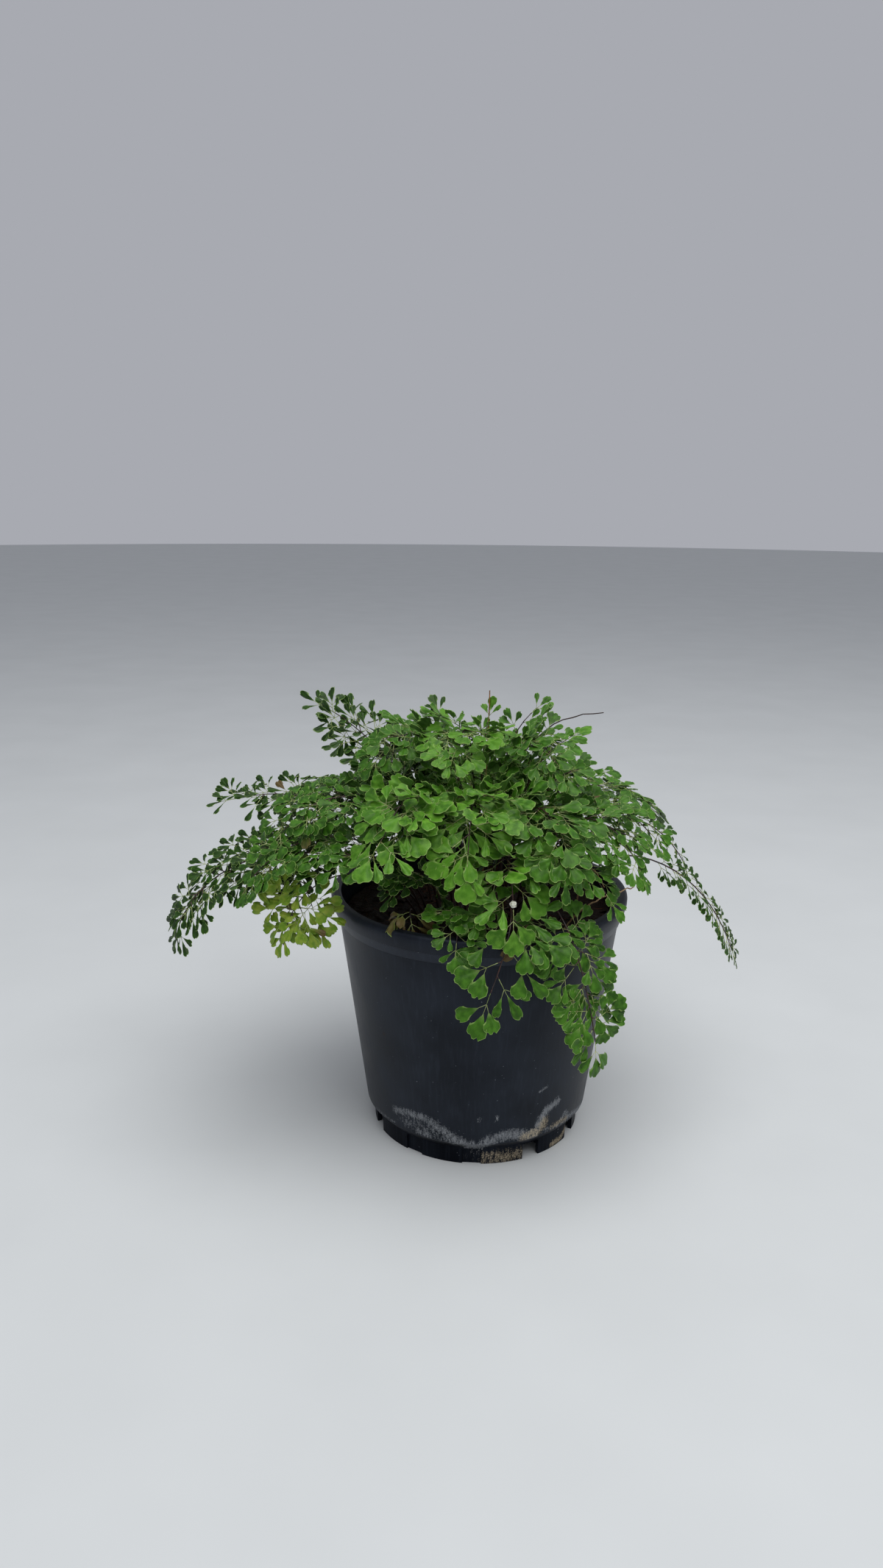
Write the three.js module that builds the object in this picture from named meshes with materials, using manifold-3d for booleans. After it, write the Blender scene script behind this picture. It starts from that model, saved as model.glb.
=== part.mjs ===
// A maidenhair fern in its nursery pot: the moulded pot, the potting mix that fills it, and the
// fronds, whose wiry stems rise from holes in the mix and arch out over the rim on all sides.
// Millimetres, +Z up. The origin is the centre of the pot's base, and the viewer stands at -Y.
import * as THREE from "three";
import { mergeVertices } from "three/addons/utils/BufferGeometryUtils.js";
import Module from "manifold-3d";

const wasm = await Module();
wasm.setup();

// ---- Driving dimensions ----------------------------------------------------------------------

const RIM_RADIUS = 70;
const POT_HEIGHT = 117.5;
const WALL = 1.8;
const WALL_TOP_HEIGHT = 105;
const WALL_TOP_RADIUS = 66.3;
const BAND_BOTTOM_HEIGHT = 110;
const BAND_BOTTOM_RADIUS = 69.6;
const SHOULDER_RADIUS = 53.7;
const SHOULDER_HEIGHT = 12.3;
const SHOULDER_CORNER = 0.6;
const FOOT_RADIUS = 50;
const FOOT_TAPER = 0.3;
const FOOT_STEP_HEIGHT = 8.5;
const FLOOR_HEIGHT = 4.5;
const FLOOR_THICKNESS = 1.8;
const CENTRE_FOOT_RADIUS = 12;
const POT_SIDES = 36;

// The lip's section, as distances inwards from the rim's radius and down from its top.
const LIP_SECTION = [[0, 4], [2, 1], [3.6, 0], [5, 0.8]];

// The notches in the foot ring drain the pot, apart from the blind ones, which only dent it.
const NOTCH_COUNT = 11;
const NOTCH_WIDTH = 8.6;
const NOTCH_HEIGHT = 8;
const NOTCH_INNER_RADIUS = 46;
const FIRST_NOTCH_DEGREES = -3.5;
const BLIND_NOTCHES = [0, 10];
const BLIND_NOTCH_DEPTH = 1;

const CLEARANCE = 0.3;
const MIX_LEVEL = 106;
const MIX_EDGE_DROP = 3;
const MIX_SIDES = 20;
const MIX_RINGS = [0.9, 0.6, 0.3];
const MIX_BUMP = 1.3;
const ROOTED_DEPTH = 9;

const STEM_RADIUS = 0.85;
const STEM_SIDES = 3;
const STEM_STEP_LENGTH = 21;
const STEM_RISE = 0.72;
const STEM_LEAN = 0.12;
const HOLE_SIDES = 4;
const HOLE_MARGIN = 0.85;

// A branch is a flat outline of fans. A fan stands for a group of leaflets, so it is FAN_SIZE
// leaflets long, and its outer edge is cut to FAN_CUT of that in the middle.
const FAN_SIZE = 1.4;
const FAN_HALF_ANGLE = 24;
const FAN_CUT = 0.86;
const FAN_PITCH = 0.86;
const FAN_LEAN = 62;
const FAN_LEAN_STEP = 5;
const FIRST_FAN_LEFT = 0.5;
const FIRST_FAN_RIGHT = 0.85;
const END_FAN = 0.4;
const BLADE_THICKNESS = 0.65;
const BLADE_MARGIN = 0.4;
const RIB_HALF_WIDTH = 0.6;
const NECK_LENGTH = 2;
const NECK_WIDTH = 0.7;
const BRANCH_DROOP = 0.006;
const BRANCH_CUP = 0.012;
const WAVE_HEIGHT = 0.5;
const WAVE_RATE = 0.9;
const WAVE_GROWTH = 0.3;

const END_BRANCH_AT = 0.88;
const END_BRANCH_REACH = 0.6;
const STEM_END_AT = 0.89;
const LOWEST_SPREAD = 62;
const SPREAD_LOSS = 16;
const REACH_LOSS = 0.45;
const ROLLED_LEAF_RADIUS = 1.5;

const POT_COLOR = 0x24272d;
const MIX_COLOR = 0x2a1c15;
const POT_ROUGHNESS = 0.5;
const MIX_ROUGHNESS = 0.95;
const LEAF_ROUGHNESS = 0.6;
const DRY_ROUGHNESS = 0.8;

// ---- Fronds ----------------------------------------------------------------------------------
// Each row is one frond. root is where its stem leaves the mix, crown the point that pulls its
// arch up and out, and tip its far end. reach is the length of its longest side branch, leaf the
// size of a leaflet, branches the number of side branches, and bare the part of the stem without
// leaves. roll turns the leafy part about the stem, in degrees.

const FRESH = 0x5d9336;
const GREEN = 0x44702a;
const DEEP = 0x335a22;
const YELLOWING = 0x7c9038;
const WITHERED = 0x74602e;

const FRONDS = [
  // Left side, from the lowest to the highest.
  { name: "left_trailing", root: [-22, -8], crown: [-130, -26, 162], tip: [-142, -26, 92],
    reach: 26, leaf: 7, branches: 5, bare: 0.4, roll: -10, color: DEEP },
  { name: "left_reaching", root: [-24, 2], crown: [-92, 4, 184], tip: [-127, -2, 160],
    reach: 28, leaf: 7, branches: 4, bare: 0.45, roll: -35, color: DEEP },
  { name: "left_upright", root: [-16, 10], crown: [-50, 14, 186], tip: [-77, 10, 205],
    reach: 30, leaf: 7.5, branches: 4, bare: 0.45, roll: -40, color: DEEP },
  { name: "left_middle", root: [-18, -2], crown: [-74, -22, 188], tip: [-94, -32, 142],
    reach: 34, leaf: 8, branches: 4, bare: 0.4, roll: -15, color: GREEN },
  { name: "left_yellowing", root: [-26, -14], crown: [-80, -42, 148], tip: [-86, -42, 106],
    reach: 17, leaf: 7.5, branches: 2, bare: 0.62, roll: 0, color: YELLOWING },
  { name: "left_rim", root: [-24, -22], crown: [-56, -46, 156], tip: [-66, -54, 128],
    reach: 22, leaf: 8, branches: 2, bare: 0.5, roll: 0, color: GREEN },
  { name: "left_lower", root: [-22, -12], crown: [-84, -34, 170], tip: [-108, -44, 124],
    reach: 24, leaf: 7.5, branches: 3, bare: 0.5, roll: -10, color: GREEN },
  // Front, from left to right.
  { name: "front_left_low", root: [-14, -26], crown: [-30, -42, 146], tip: [-37, -50, 124],
    reach: 18, leaf: 7.5, branches: 2, bare: 0.55, roll: 0, color: DEEP },
  { name: "front_left", root: [-12, -14], crown: [-34, -44, 186], tip: [-46, -68, 148],
    reach: 34, leaf: 9, branches: 4, bare: 0.4, roll: 0, color: FRESH },
  { name: "front_middle", root: [-2, -12], crown: [-4, -44, 190], tip: [-8, -72, 144],
    reach: 34, leaf: 9, branches: 4, bare: 0.4, roll: 0, color: FRESH },
  { name: "front_bright", root: [4, -20], crown: [12, -62, 168], tip: [12, -74, 122],
    reach: 26, leaf: 9.5, branches: 3, bare: 0.45, roll: 0, color: FRESH, rolledLeafAt: 0.74 },
  { name: "withered", root: [-27, -38], crown: [-34, -46, 126], tip: [-31, -51, 110],
    reach: 8, leaf: 6, branches: 1, bare: 0.6, roll: 0, color: WITHERED },
  { name: "front_small", root: [-6, -28], crown: [-10, -62, 138], tip: [-12, -72, 110],
    reach: 13, leaf: 7, branches: 1, bare: 0.65, roll: 0, color: GREEN },
  { name: "front_right", root: [10, -14], crown: [28, -44, 182], tip: [34, -68, 142],
    reach: 32, leaf: 9, branches: 4, bare: 0.4, roll: 0, color: GREEN },
  { name: "cascade_left", root: [2, -30], crown: [24, -72, 148], tip: [-1, -78, 88],
    reach: 22, leaf: 8.5, branches: 3, bare: 0.5, roll: 0, color: GREEN },
  { name: "cascade_right", root: [12, -26], crown: [38, -66, 152], tip: [50, -74, 60],
    reach: 19, leaf: 8, branches: 5, bare: 0.46, roll: 0, color: GREEN },
  { name: "front_right_rim", root: [20, -20], crown: [46, -44, 156], tip: [56, -52, 124],
    reach: 22, leaf: 8, branches: 2, bare: 0.5, roll: 0, color: GREEN },
  // Right side.
  { name: "right_middle", root: [16, -6], crown: [54, -26, 182], tip: [70, -42, 146],
    reach: 32, leaf: 8, branches: 4, bare: 0.4, roll: 10, color: GREEN },
  { name: "right_round", root: [20, 0], crown: [64, -8, 184], tip: [84, -14, 148],
    reach: 32, leaf: 8, branches: 4, bare: 0.4, roll: 20, color: GREEN },
  { name: "right_rim", root: [24, -8], crown: [60, -28, 160], tip: [74, -36, 128],
    reach: 20, leaf: 8, branches: 2, bare: 0.5, roll: 0, color: GREEN },
  { name: "right_upper", root: [14, 8], crown: [40, 10, 184], tip: [64, 8, 174],
    reach: 26, leaf: 7.5, branches: 3, bare: 0.45, roll: 25, color: GREEN },
  { name: "right_trailing", root: [24, 6], crown: [108, 0, 156], tip: [127, 0, 76],
    reach: 12, leaf: 6, branches: 4, bare: 0.5, roll: 70, color: DEEP },
  { name: "right_short_trailing", root: [22, 14], crown: [86, 18, 170], tip: [106, 16, 116],
    reach: 15, leaf: 6, branches: 3, bare: 0.5, roll: 60, color: DEEP },
  // Top of the mound.
  { name: "top_left", root: [-10, 0], crown: [-26, -6, 206], tip: [-54, -22, 188],
    reach: 32, leaf: 8, branches: 4, bare: 0.4, roll: -20, color: GREEN },
  { name: "top_middle", root: [-2, -2], crown: [-6, -12, 210], tip: [-14, -40, 188],
    reach: 32, leaf: 8.5, branches: 4, bare: 0.4, roll: 0, color: FRESH },
  { name: "top_right", root: [6, 0], crown: [20, -8, 204], tip: [36, -30, 178],
    reach: 32, leaf: 8.5, branches: 4, bare: 0.4, roll: 15, color: GREEN },
  { name: "top_dark", root: [-6, 16], crown: [-14, 26, 194], tip: [-24, 34, 198],
    reach: 24, leaf: 7.5, branches: 2, bare: 0.48, roll: -20, color: DEEP },
  { name: "top_spire", root: [0, 8], crown: [0, 12, 188], tip: [6, 14, 206],
    reach: 18, leaf: 7, branches: 2, bare: 0.5, roll: 0, color: FRESH },
  { name: "top_edge", root: [6, 14], crown: [12, 20, 196], tip: [36, 22, 204],
    reach: 15, leaf: 6.5, branches: 3, bare: 0.45, roll: 65, color: GREEN },
  { name: "top_young", root: [12, 2], crown: [26, 4, 188], tip: [52, 12, 190],
    reach: 14, leaf: 7.5, branches: 3, bare: 0.5, roll: 0, color: FRESH },
  // Back, from left to right, and two that fill the mound behind its top.
  { name: "back_far_left", root: [-22, 14], crown: [-72, 40, 180], tip: [-102, 62, 138],
    reach: 32, leaf: 8, branches: 3, bare: 0.4, roll: 0, color: GREEN },
  { name: "back_left", root: [-14, 22], crown: [-40, 62, 186], tip: [-60, 92, 136],
    reach: 34, leaf: 8, branches: 3, bare: 0.4, roll: 0, color: GREEN },
  { name: "back_middle", root: [-2, 24], crown: [0, 62, 188], tip: [-4, 104, 130],
    reach: 34, leaf: 8, branches: 3, bare: 0.4, roll: 0, color: GREEN },
  { name: "back_right", root: [10, 22], crown: [36, 60, 182], tip: [54, 92, 136],
    reach: 34, leaf: 8, branches: 3, bare: 0.4, roll: 0, color: GREEN },
  { name: "back_far_right", root: [20, 22], crown: [66, 40, 178], tip: [94, 56, 136],
    reach: 32, leaf: 8, branches: 3, bare: 0.4, roll: 0, color: GREEN },
  { name: "back_inner_left", root: [-6, 20], crown: [-22, 38, 200], tip: [-42, 60, 170],
    reach: 30, leaf: 8, branches: 3, bare: 0.42, roll: 0, color: GREEN },
  { name: "back_inner_right", root: [4, 17], crown: [20, 38, 198], tip: [38, 58, 168],
    reach: 30, leaf: 8, branches: 3, bare: 0.42, roll: 0, color: GREEN },
  { name: "back_low_left", root: [-10, 30], crown: [-26, 76, 146], tip: [-34, 84, 96],
    reach: 20, leaf: 7.5, branches: 3, bare: 0.5, roll: 0, color: DEEP },
  { name: "back_low_right", root: [6, 30], crown: [26, 74, 146], tip: [34, 86, 100],
    reach: 20, leaf: 7.5, branches: 2, bare: 0.55, roll: 0, color: DEEP },
];

// Dead stems, without leaves: what is left of old fronds, and stalks that lie over the mix.
const DRY_STEMS = [
  { name: "old_stem_upright", root: [2, 12], crown: [4, 14, 196], tip: [4, 15, 209],
    color: 0x5a3a24 },
  { name: "old_stem_branching", root: [10, 10], crown: [16, 14, 196], tip: [58, 16, 199],
    color: 0x2c1c1a },
  { name: "stalk_over_rim", root: [34, -34], crown: [52, -26, 121], tip: [72, -10, 121],
    color: 0x9a7c58 },
  { name: "stalk_curved", root: [48, 12], crown: [54, 14, 130], tip: [61, 8, 114],
    color: 0x9a7c58 },
  { name: "stalk_short", root: [18, -33], crown: [24, -36, 119], tip: [38, -38, 112],
    color: 0xa88f6a },
];

// ---- Joining and cutting ---------------------------------------------------------------------

function solidFrom(geometry) {
  const bare = new THREE.BufferGeometry();
  bare.setAttribute("position", geometry.getAttribute("position"));
  if (geometry.index) bare.setIndex(geometry.index);
  const merged = mergeVertices(bare, 1e-4);
  const corners = merged.index.array;
  const triangles = [];
  for (let i = 0; i < corners.length; i += 3) {
    const [a, b, c] = [corners[i], corners[i + 1], corners[i + 2]];
    const pinched = a === b || b === c || c === a;
    if (!pinched) triangles.push(a, b, c);
  }
  const mesh = new wasm.Mesh({
    numProp: 3,
    vertProperties: new Float32Array(merged.getAttribute("position").array),
    triVerts: new Uint32Array(triangles),
  });
  return new wasm.Manifold(mesh);
}

function geometryFrom(solid) {
  const mesh = solid.getMesh();
  const geometry = new THREE.BufferGeometry();
  geometry.setAttribute("position", new THREE.BufferAttribute(mesh.vertProperties, 3));
  geometry.setIndex(new THREE.BufferAttribute(mesh.triVerts, 1));
  geometry.computeVertexNormals();
  return geometry;
}

function named(name, solid, color, roughness) {
  const material = new THREE.MeshStandardMaterial({ color, roughness, metalness: 0 });
  const mesh = new THREE.Mesh(geometryFrom(solid), material);
  mesh.name = name;
  return mesh;
}

// A closed profile of [radius, height] points turned about Z; angle 0 faces the viewer.
function turned(profile, sides) {
  const points = profile.map(([radius, height]) => new THREE.Vector2(radius, height));
  const geometry = new THREE.LatheGeometry(points, sides);
  geometry.rotateX(Math.PI / 2);
  return geometry;
}

// Puts a geometry made along -Y at an angle about Z, counted from the front towards +X.
function atAngle(geometry, degrees) {
  return geometry.rotateZ(THREE.MathUtils.degToRad(degrees));
}

// ---- Pot: one injection-moulded shell with a stepped foot --------------------------------------

const footInnerRadius = FOOT_RADIUS - WALL;
const floorTop = FLOOR_HEIGHT + FLOOR_THICKNESS;
const insideShoulder = SHOULDER_HEIGHT + SHOULDER_CORNER;

function potShell() {
  return solidFrom(turned([
    [0, 0],
    [CENTRE_FOOT_RADIUS, 0],
    [CENTRE_FOOT_RADIUS, FLOOR_HEIGHT],
    [footInnerRadius, FLOOR_HEIGHT],
    [footInnerRadius, 0],
    [FOOT_RADIUS, 0],
    [FOOT_RADIUS + FOOT_TAPER, FOOT_STEP_HEIGHT],
    [SHOULDER_RADIUS, SHOULDER_HEIGHT],
    [WALL_TOP_RADIUS, WALL_TOP_HEIGHT],
    [BAND_BOTTOM_RADIUS, BAND_BOTTOM_HEIGHT],
    ...LIP_SECTION.map(([inwards, down]) => [RIM_RADIUS - inwards, POT_HEIGHT - down]),
    [WALL_TOP_RADIUS - WALL, WALL_TOP_HEIGHT],
    [SHOULDER_RADIUS - WALL, insideShoulder],
    [footInnerRadius, FOOT_STEP_HEIGHT + SHOULDER_CORNER],
    [footInnerRadius, floorTop],
    [0, floorTop],
  ], POT_SIDES));
}

// A block that cuts one notch in the foot ring, from an inner radius outwards.
function notchBlock(degrees, innerRadius) {
  const depth = SHOULDER_RADIUS + WALL - innerRadius;
  const block = new THREE.BoxGeometry(NOTCH_WIDTH, depth, 2 * NOTCH_HEIGHT);
  block.translate(0, -innerRadius - depth / 2, 0);
  return solidFrom(atAngle(block, degrees));
}

function makePot() {
  let pot = potShell();
  for (let i = 0; i < NOTCH_COUNT; i += 1) {
    const blind = BLIND_NOTCHES.includes(i);
    const innerRadius = blind ? FOOT_RADIUS - BLIND_NOTCH_DEPTH : NOTCH_INNER_RADIUS;
    pot = pot.subtract(notchBlock(FIRST_NOTCH_DEGREES + (360 / NOTCH_COUNT) * i, innerRadius));
  }
  return pot;
}

// ---- Potting mix -------------------------------------------------------------------------------

// Loose mix is never level: humps about 80 mm long, with crumbs about 20 mm long on them.
function mixHeight(x, y) {
  const humps = Math.sin(0.075 * x + 1.1) * Math.cos(0.09 * y - 0.4);
  const crumbs = Math.sin(0.31 * x - 0.22 * y) * Math.cos(0.27 * y + 0.18 * x);
  return MIX_LEVEL + MIX_BUMP * (humps + crumbs / 2);
}

function makeMix() {
  const wallHeight = WALL_TOP_HEIGHT - SHOULDER_HEIGHT;
  const wallSlope = (WALL_TOP_RADIUS - SHOULDER_RADIUS) / wallHeight;
  const edgeHeight = MIX_LEVEL - MIX_EDGE_DROP;
  const shoulderRadius = SHOULDER_RADIUS - WALL - 2 * CLEARANCE;
  const topRadius = shoulderRadius + wallSlope * (edgeHeight - insideShoulder);
  const geometry = turned([
    [0, floorTop + CLEARANCE],
    [footInnerRadius - 2 * CLEARANCE, floorTop + CLEARANCE],
    [footInnerRadius - 2 * CLEARANCE, FOOT_STEP_HEIGHT + SHOULDER_CORNER],
    [shoulderRadius, insideShoulder + CLEARANCE],
    [topRadius, edgeHeight],
    ...MIX_RINGS.map((part) => [topRadius * part, MIX_LEVEL]),
    [0, MIX_LEVEL],
  ], MIX_SIDES);
  const position = geometry.getAttribute("position");
  for (let i = 0; i < position.count; i += 1) {
    const onTop = position.getZ(i) > MIX_LEVEL - 1;
    if (onTop) position.setZ(i, mixHeight(position.getX(i), position.getY(i)));
  }
  return solidFrom(geometry);
}

// ---- Stems -------------------------------------------------------------------------------------

// The stem starts in the mix, rises under its crown and falls away to its tip.
function stemCurve({ root, crown, tip }) {
  const [x, y] = root;
  const towards = (from, to, share) => from + share * (to - from);
  return new THREE.CubicBezierCurve3(
    new THREE.Vector3(x, y, MIX_LEVEL - ROOTED_DEPTH),
    new THREE.Vector3(
      towards(x, crown[0], STEM_LEAN),
      towards(y, crown[1], STEM_LEAN),
      towards(MIX_LEVEL, crown[2], STEM_RISE),
    ),
    new THREE.Vector3(...crown),
    new THREE.Vector3(...tip),
  );
}

// A frond's stem ends inside its end branch, which takes over from it.
class StemUnderLeaves extends THREE.Curve {
  constructor(whole) {
    super();
    this.whole = whole;
  }

  getPoint(t, target) {
    return this.whole.getPointAt(t * STEM_END_AT, target);
  }
}

function stepsAlong(curve) {
  return Math.round(curve.getLength() / STEM_STEP_LENGTH);
}

// A rod is straight between its steps, so a branch's foot lies on the straight stretch.
function pointOnStem(curve, t) {
  const covered = new StemUnderLeaves(curve);
  const steps = stepsAlong(covered);
  const points = covered.getSpacedPoints(steps);
  const station = (t / STEM_END_AT) * steps;
  const before = Math.floor(station);
  return points[before].clone().lerp(points[before + 1], station - before);
}

function roundRod(curve, radius, sides) {
  const section = new THREE.Shape();
  for (let i = 0; i < sides; i += 1) {
    const angle = (2 * Math.PI * i) / sides;
    section.lineTo(radius * Math.cos(angle), radius * Math.sin(angle));
  }
  const corners = section.getPoints().slice(1);
  const options = { steps: stepsAlong(curve), bevelEnabled: false, extrudePath: curve };
  return solidFrom(new THREE.ExtrudeGeometry(new THREE.Shape(corners), options));
}

// ---- Side branches -----------------------------------------------------------------------------

// One side branch as a flat outline, cut to its rib between the fans. Each fan stands for a group
// of leaflets: fans alternate on the rib's two sides and one ends it. u runs along the rib and v
// across it.
function branchOutline(fansPerSide, fan, margin) {
  const rib = RIB_HALF_WIDTH + margin;
  const size = fan + margin;
  const pitch = FAN_PITCH * fan;
  const corners = (foot, lean, side, start) => {
    return [[FAN_HALF_ANGLE, 1], [0, FAN_CUT], [-FAN_HALF_ANGLE, 1]].map(([turn, part]) => {
      const angle = THREE.MathUtils.degToRad(lean + turn);
      const along = foot + part * size * Math.cos(angle);
      return new THREE.Vector2(along, side * (start + part * size * Math.sin(angle)));
    });
  };
  const sideOf = (side, offset) => {
    const points = [new THREE.Vector2(NECK_LENGTH, NECK_WIDTH * side * rib)];
    for (let i = 0; i < fansPerSide; i += 1) {
      const foot = pitch * (i + offset);
      points.push(...corners(foot, FAN_LEAN - FAN_LEAN_STEP * i, side, rib));
      points.push(new THREE.Vector2(foot + pitch / 2, side * rib));
    }
    return points;
  };
  const lower = sideOf(-1, FIRST_FAN_LEFT);
  const upper = sideOf(1, FIRST_FAN_RIGHT);
  const end = corners(pitch * (fansPerSide + END_FAN), 0, -1, 0);
  return new THREE.Shape([new THREE.Vector2(0, 0), ...lower, ...end, ...upper.reverse()]);
}

// The outline given its thickness, arched along its rib and cupped across it, and set at its
// place. Both faces bend by the same formula, so they never meet.
function branchBlade(place, margin) {
  const { foot, along, across, up, fansPerSide, fan } = place;
  const thickness = BLADE_THICKNESS + 2 * margin;
  const outline = branchOutline(fansPerSide, fan, margin);
  const options = { depth: thickness, bevelEnabled: false };
  const geometry = new THREE.ExtrudeGeometry(outline, options);
  const position = geometry.getAttribute("position");
  const point = new THREE.Vector3();
  for (let i = 0; i < position.count; i += 1) {
    const u = position.getX(i);
    const v = position.getY(i);
    const wave = WAVE_HEIGHT * Math.sin(WAVE_RATE * u) * Math.tanh(WAVE_GROWTH * v);
    const arch = wave - BRANCH_DROOP * u * u - BRANCH_CUP * v * v;
    const w = position.getZ(i) - thickness / 2 + arch;
    point.copy(foot).addScaledVector(along, u).addScaledVector(across, v).addScaledVector(up, w);
    position.setXYZ(i, point.x, point.y, point.z);
  }
  return solidFrom(geometry);
}

// The frame of the leafy part at one place on the stem: forward, sideways and the upper side.
function stemFrame(frond, curve, t) {
  const out = new THREE.Vector3(frond.tip[0] - frond.root[0], frond.tip[1] - frond.root[1], 0);
  const level = new THREE.Vector3(-out.y, out.x, 0).normalize();
  const forward = curve.getTangentAt(t);
  const sideways = level.addScaledVector(forward, -level.dot(forward)).normalize();
  sideways.applyAxisAngle(forward, THREE.MathUtils.degToRad(frond.roll));
  const upper = new THREE.Vector3().crossVectors(forward, sideways);
  return { forward, sideways, upper };
}

// The side branches of one frond, which alternate and shorten towards the tip, and the one that
// ends it.
function branchPlaces(frond) {
  const curve = stemCurve(frond);
  const endReach = END_BRANCH_REACH * frond.reach;
  const places = [{ curve, t: END_BRANCH_AT, side: 1, spread: 0, reach: endReach }];
  for (let i = 0; i < frond.branches; i += 1) {
    const step = i / frond.branches;
    const t = frond.bare + (END_BRANCH_AT - frond.bare) * step;
    const side = i % 2 === 0 ? -1 : 1;
    const spread = LOWEST_SPREAD - SPREAD_LOSS * step;
    const reach = frond.reach * (1 - REACH_LOSS * step);
    places.push({ curve, t, side, spread, reach });
  }
  return places;
}

// The branch's own frame: swung out from the stem, then raised, twisted and shortened by a bend.
function bentPlace(frond, place, { twist, rise, shorten }) {
  const { forward, sideways, upper } = stemFrame(frond, place.curve, place.t);
  const spread = THREE.MathUtils.degToRad(place.spread);
  const along = forward.clone().multiplyScalar(Math.cos(spread));
  along.addScaledVector(sideways, place.side * Math.sin(spread));
  const across = new THREE.Vector3().crossVectors(upper, along).normalize();
  along.applyAxisAngle(across, THREE.MathUtils.degToRad(-rise));
  across.applyAxisAngle(along, THREE.MathUtils.degToRad(twist));
  const up = new THREE.Vector3().crossVectors(along, across);
  const fan = FAN_SIZE * frond.leaf;
  const fitting = Math.round((place.reach - fan) / (FAN_PITCH * fan));
  const fansPerSide = Math.max(1, fitting - shorten);
  const foot = pointOnStem(place.curve, place.t);
  return { foot, along, across, up, fansPerSide, fan };
}

// Ways to bend a branch clear of its neighbours, tried in this order: angles in degrees, and
// after them the same with one pair of fans fewer.
const BENDS = [];
for (const shorten of [0, 1]) {
  for (const rise of [0, 14, -14, 28, -28]) {
    for (const twist of [0, 18, -18, 36, -36]) {
      BENDS.push({ twist, rise, shorten });
    }
  }
}

// ---- The plant ---------------------------------------------------------------------------------

const pot = makePot();
let mix = makeMix();
const obstacles = [{ owner: "pot", solid: pot }];

// Each stem gets a plain hole of its own in the mix.
function plantStem(name, curve) {
  mix = mix.subtract(roundRod(curve, STEM_RADIUS + HOLE_MARGIN, HOLE_SIDES));
  const stem = roundRod(curve, STEM_RADIUS, STEM_SIDES);
  obstacles.push({ owner: name, solid: stem });
  return stem;
}

const grown = new Map();
for (const frond of FRONDS) {
  grown.set(frond.name, [plantStem(frond.name, new StemUnderLeaves(stemCurve(frond)))]);
}
for (const dry of DRY_STEMS) {
  grown.set(dry.name, [plantStem(dry.name, stemCurve(dry))]);
}
obstacles.push({ owner: "mix", solid: mix });

function boxesMeet(a, b) {
  return [0, 1, 2].every((axis) => a.min[axis] <= b.max[axis] && b.min[axis] <= a.max[axis]);
}

function isClear(solid, owner) {
  const box = solid.boundingBox();
  return obstacles.every((other) => {
    if (other.owner === owner) return true;
    other.box ??= other.solid.boundingBox();
    return !boxesMeet(box, other.box) || solid.intersect(other.solid).isEmpty();
  });
}

// A branch with a margin all round has to be clear of every other piece; one that no bend clears
// is left off.
function growBranch(frond, place) {
  const bend = BENDS.find((tried) => {
    return isClear(branchBlade(bentPlace(frond, place, tried), BLADE_MARGIN), frond.name);
  });
  if (!bend) return;
  const blade = branchBlade(bentPlace(frond, place, bend), 0);
  grown.get(frond.name).push(blade);
  obstacles.push({ owner: frond.name, solid: blade });
}

// Every frond gets its first branch before any gets its second, so that none is left bare.
const mostBranches = 1 + Math.max(...FRONDS.map((frond) => frond.branches));
for (let turn = 0; turn < mostBranches; turn += 1) {
  for (const frond of FRONDS) {
    const place = branchPlaces(frond)[turn];
    if (place) growBranch(frond, place);
  }
}

// The leaf that is still rolled up sits on the stem it grew from.
for (const frond of FRONDS.filter((row) => row.rolledLeafAt)) {
  const centre = pointOnStem(stemCurve(frond), frond.rolledLeafAt);
  const ball = new THREE.IcosahedronGeometry(ROLLED_LEAF_RADIUS, 0);
  ball.translate(centre.x, centre.y, centre.z + 0.5 * ROLLED_LEAF_RADIUS);
  grown.get(frond.name).push(solidFrom(ball));
}

// ---- The scene ---------------------------------------------------------------------------------

const plant = new THREE.Group();
for (const frond of FRONDS) {
  const solid = wasm.Manifold.union(grown.get(frond.name));
  plant.add(named(`frond_${frond.name}`, solid, frond.color, LEAF_ROUGHNESS));
}
for (const dry of DRY_STEMS) {
  plant.add(named(dry.name, grown.get(dry.name)[0], dry.color, DRY_ROUGHNESS));
}

const group = new THREE.Group();
group.add(named("pot", pot, POT_COLOR, POT_ROUGHNESS));
group.add(named("potting_mix", mix, MIX_COLOR, MIX_ROUGHNESS));
group.add(plant);

export default group;
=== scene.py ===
# A maidenhair fern in its round nursery pot, set on a pale table.
# Metres, +Z up. The origin is the centre of the pot's base, and the viewer stands at -Y.
import functools
import math
import random

import bmesh
import bpy
from mathutils import Matrix, Vector, geometry, noise


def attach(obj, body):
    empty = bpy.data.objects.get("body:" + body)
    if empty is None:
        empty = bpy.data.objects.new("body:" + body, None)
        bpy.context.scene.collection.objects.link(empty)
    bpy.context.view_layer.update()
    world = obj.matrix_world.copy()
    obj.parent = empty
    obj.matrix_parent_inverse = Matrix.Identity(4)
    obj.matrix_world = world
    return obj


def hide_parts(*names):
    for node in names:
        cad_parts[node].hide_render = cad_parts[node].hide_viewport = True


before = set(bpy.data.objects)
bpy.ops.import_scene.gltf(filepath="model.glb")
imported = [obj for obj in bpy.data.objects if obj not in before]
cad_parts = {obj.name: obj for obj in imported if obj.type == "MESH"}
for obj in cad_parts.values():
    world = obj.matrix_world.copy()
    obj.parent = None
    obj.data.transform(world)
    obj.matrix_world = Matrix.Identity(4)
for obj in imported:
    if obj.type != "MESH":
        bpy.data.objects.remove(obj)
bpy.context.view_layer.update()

# ---- Nursery pot -------------------------------------------------------------------------------
# One thin shell of black polypropylene, injection moulded: a rolled lip, a band that slopes back
# to the wall, a tapered wall, a shoulder, and a foot ring with nine drainage notches and two blind
# ones. It stands on the ring. Hard water has left lime over the shoulder, and silt on the foot.

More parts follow.
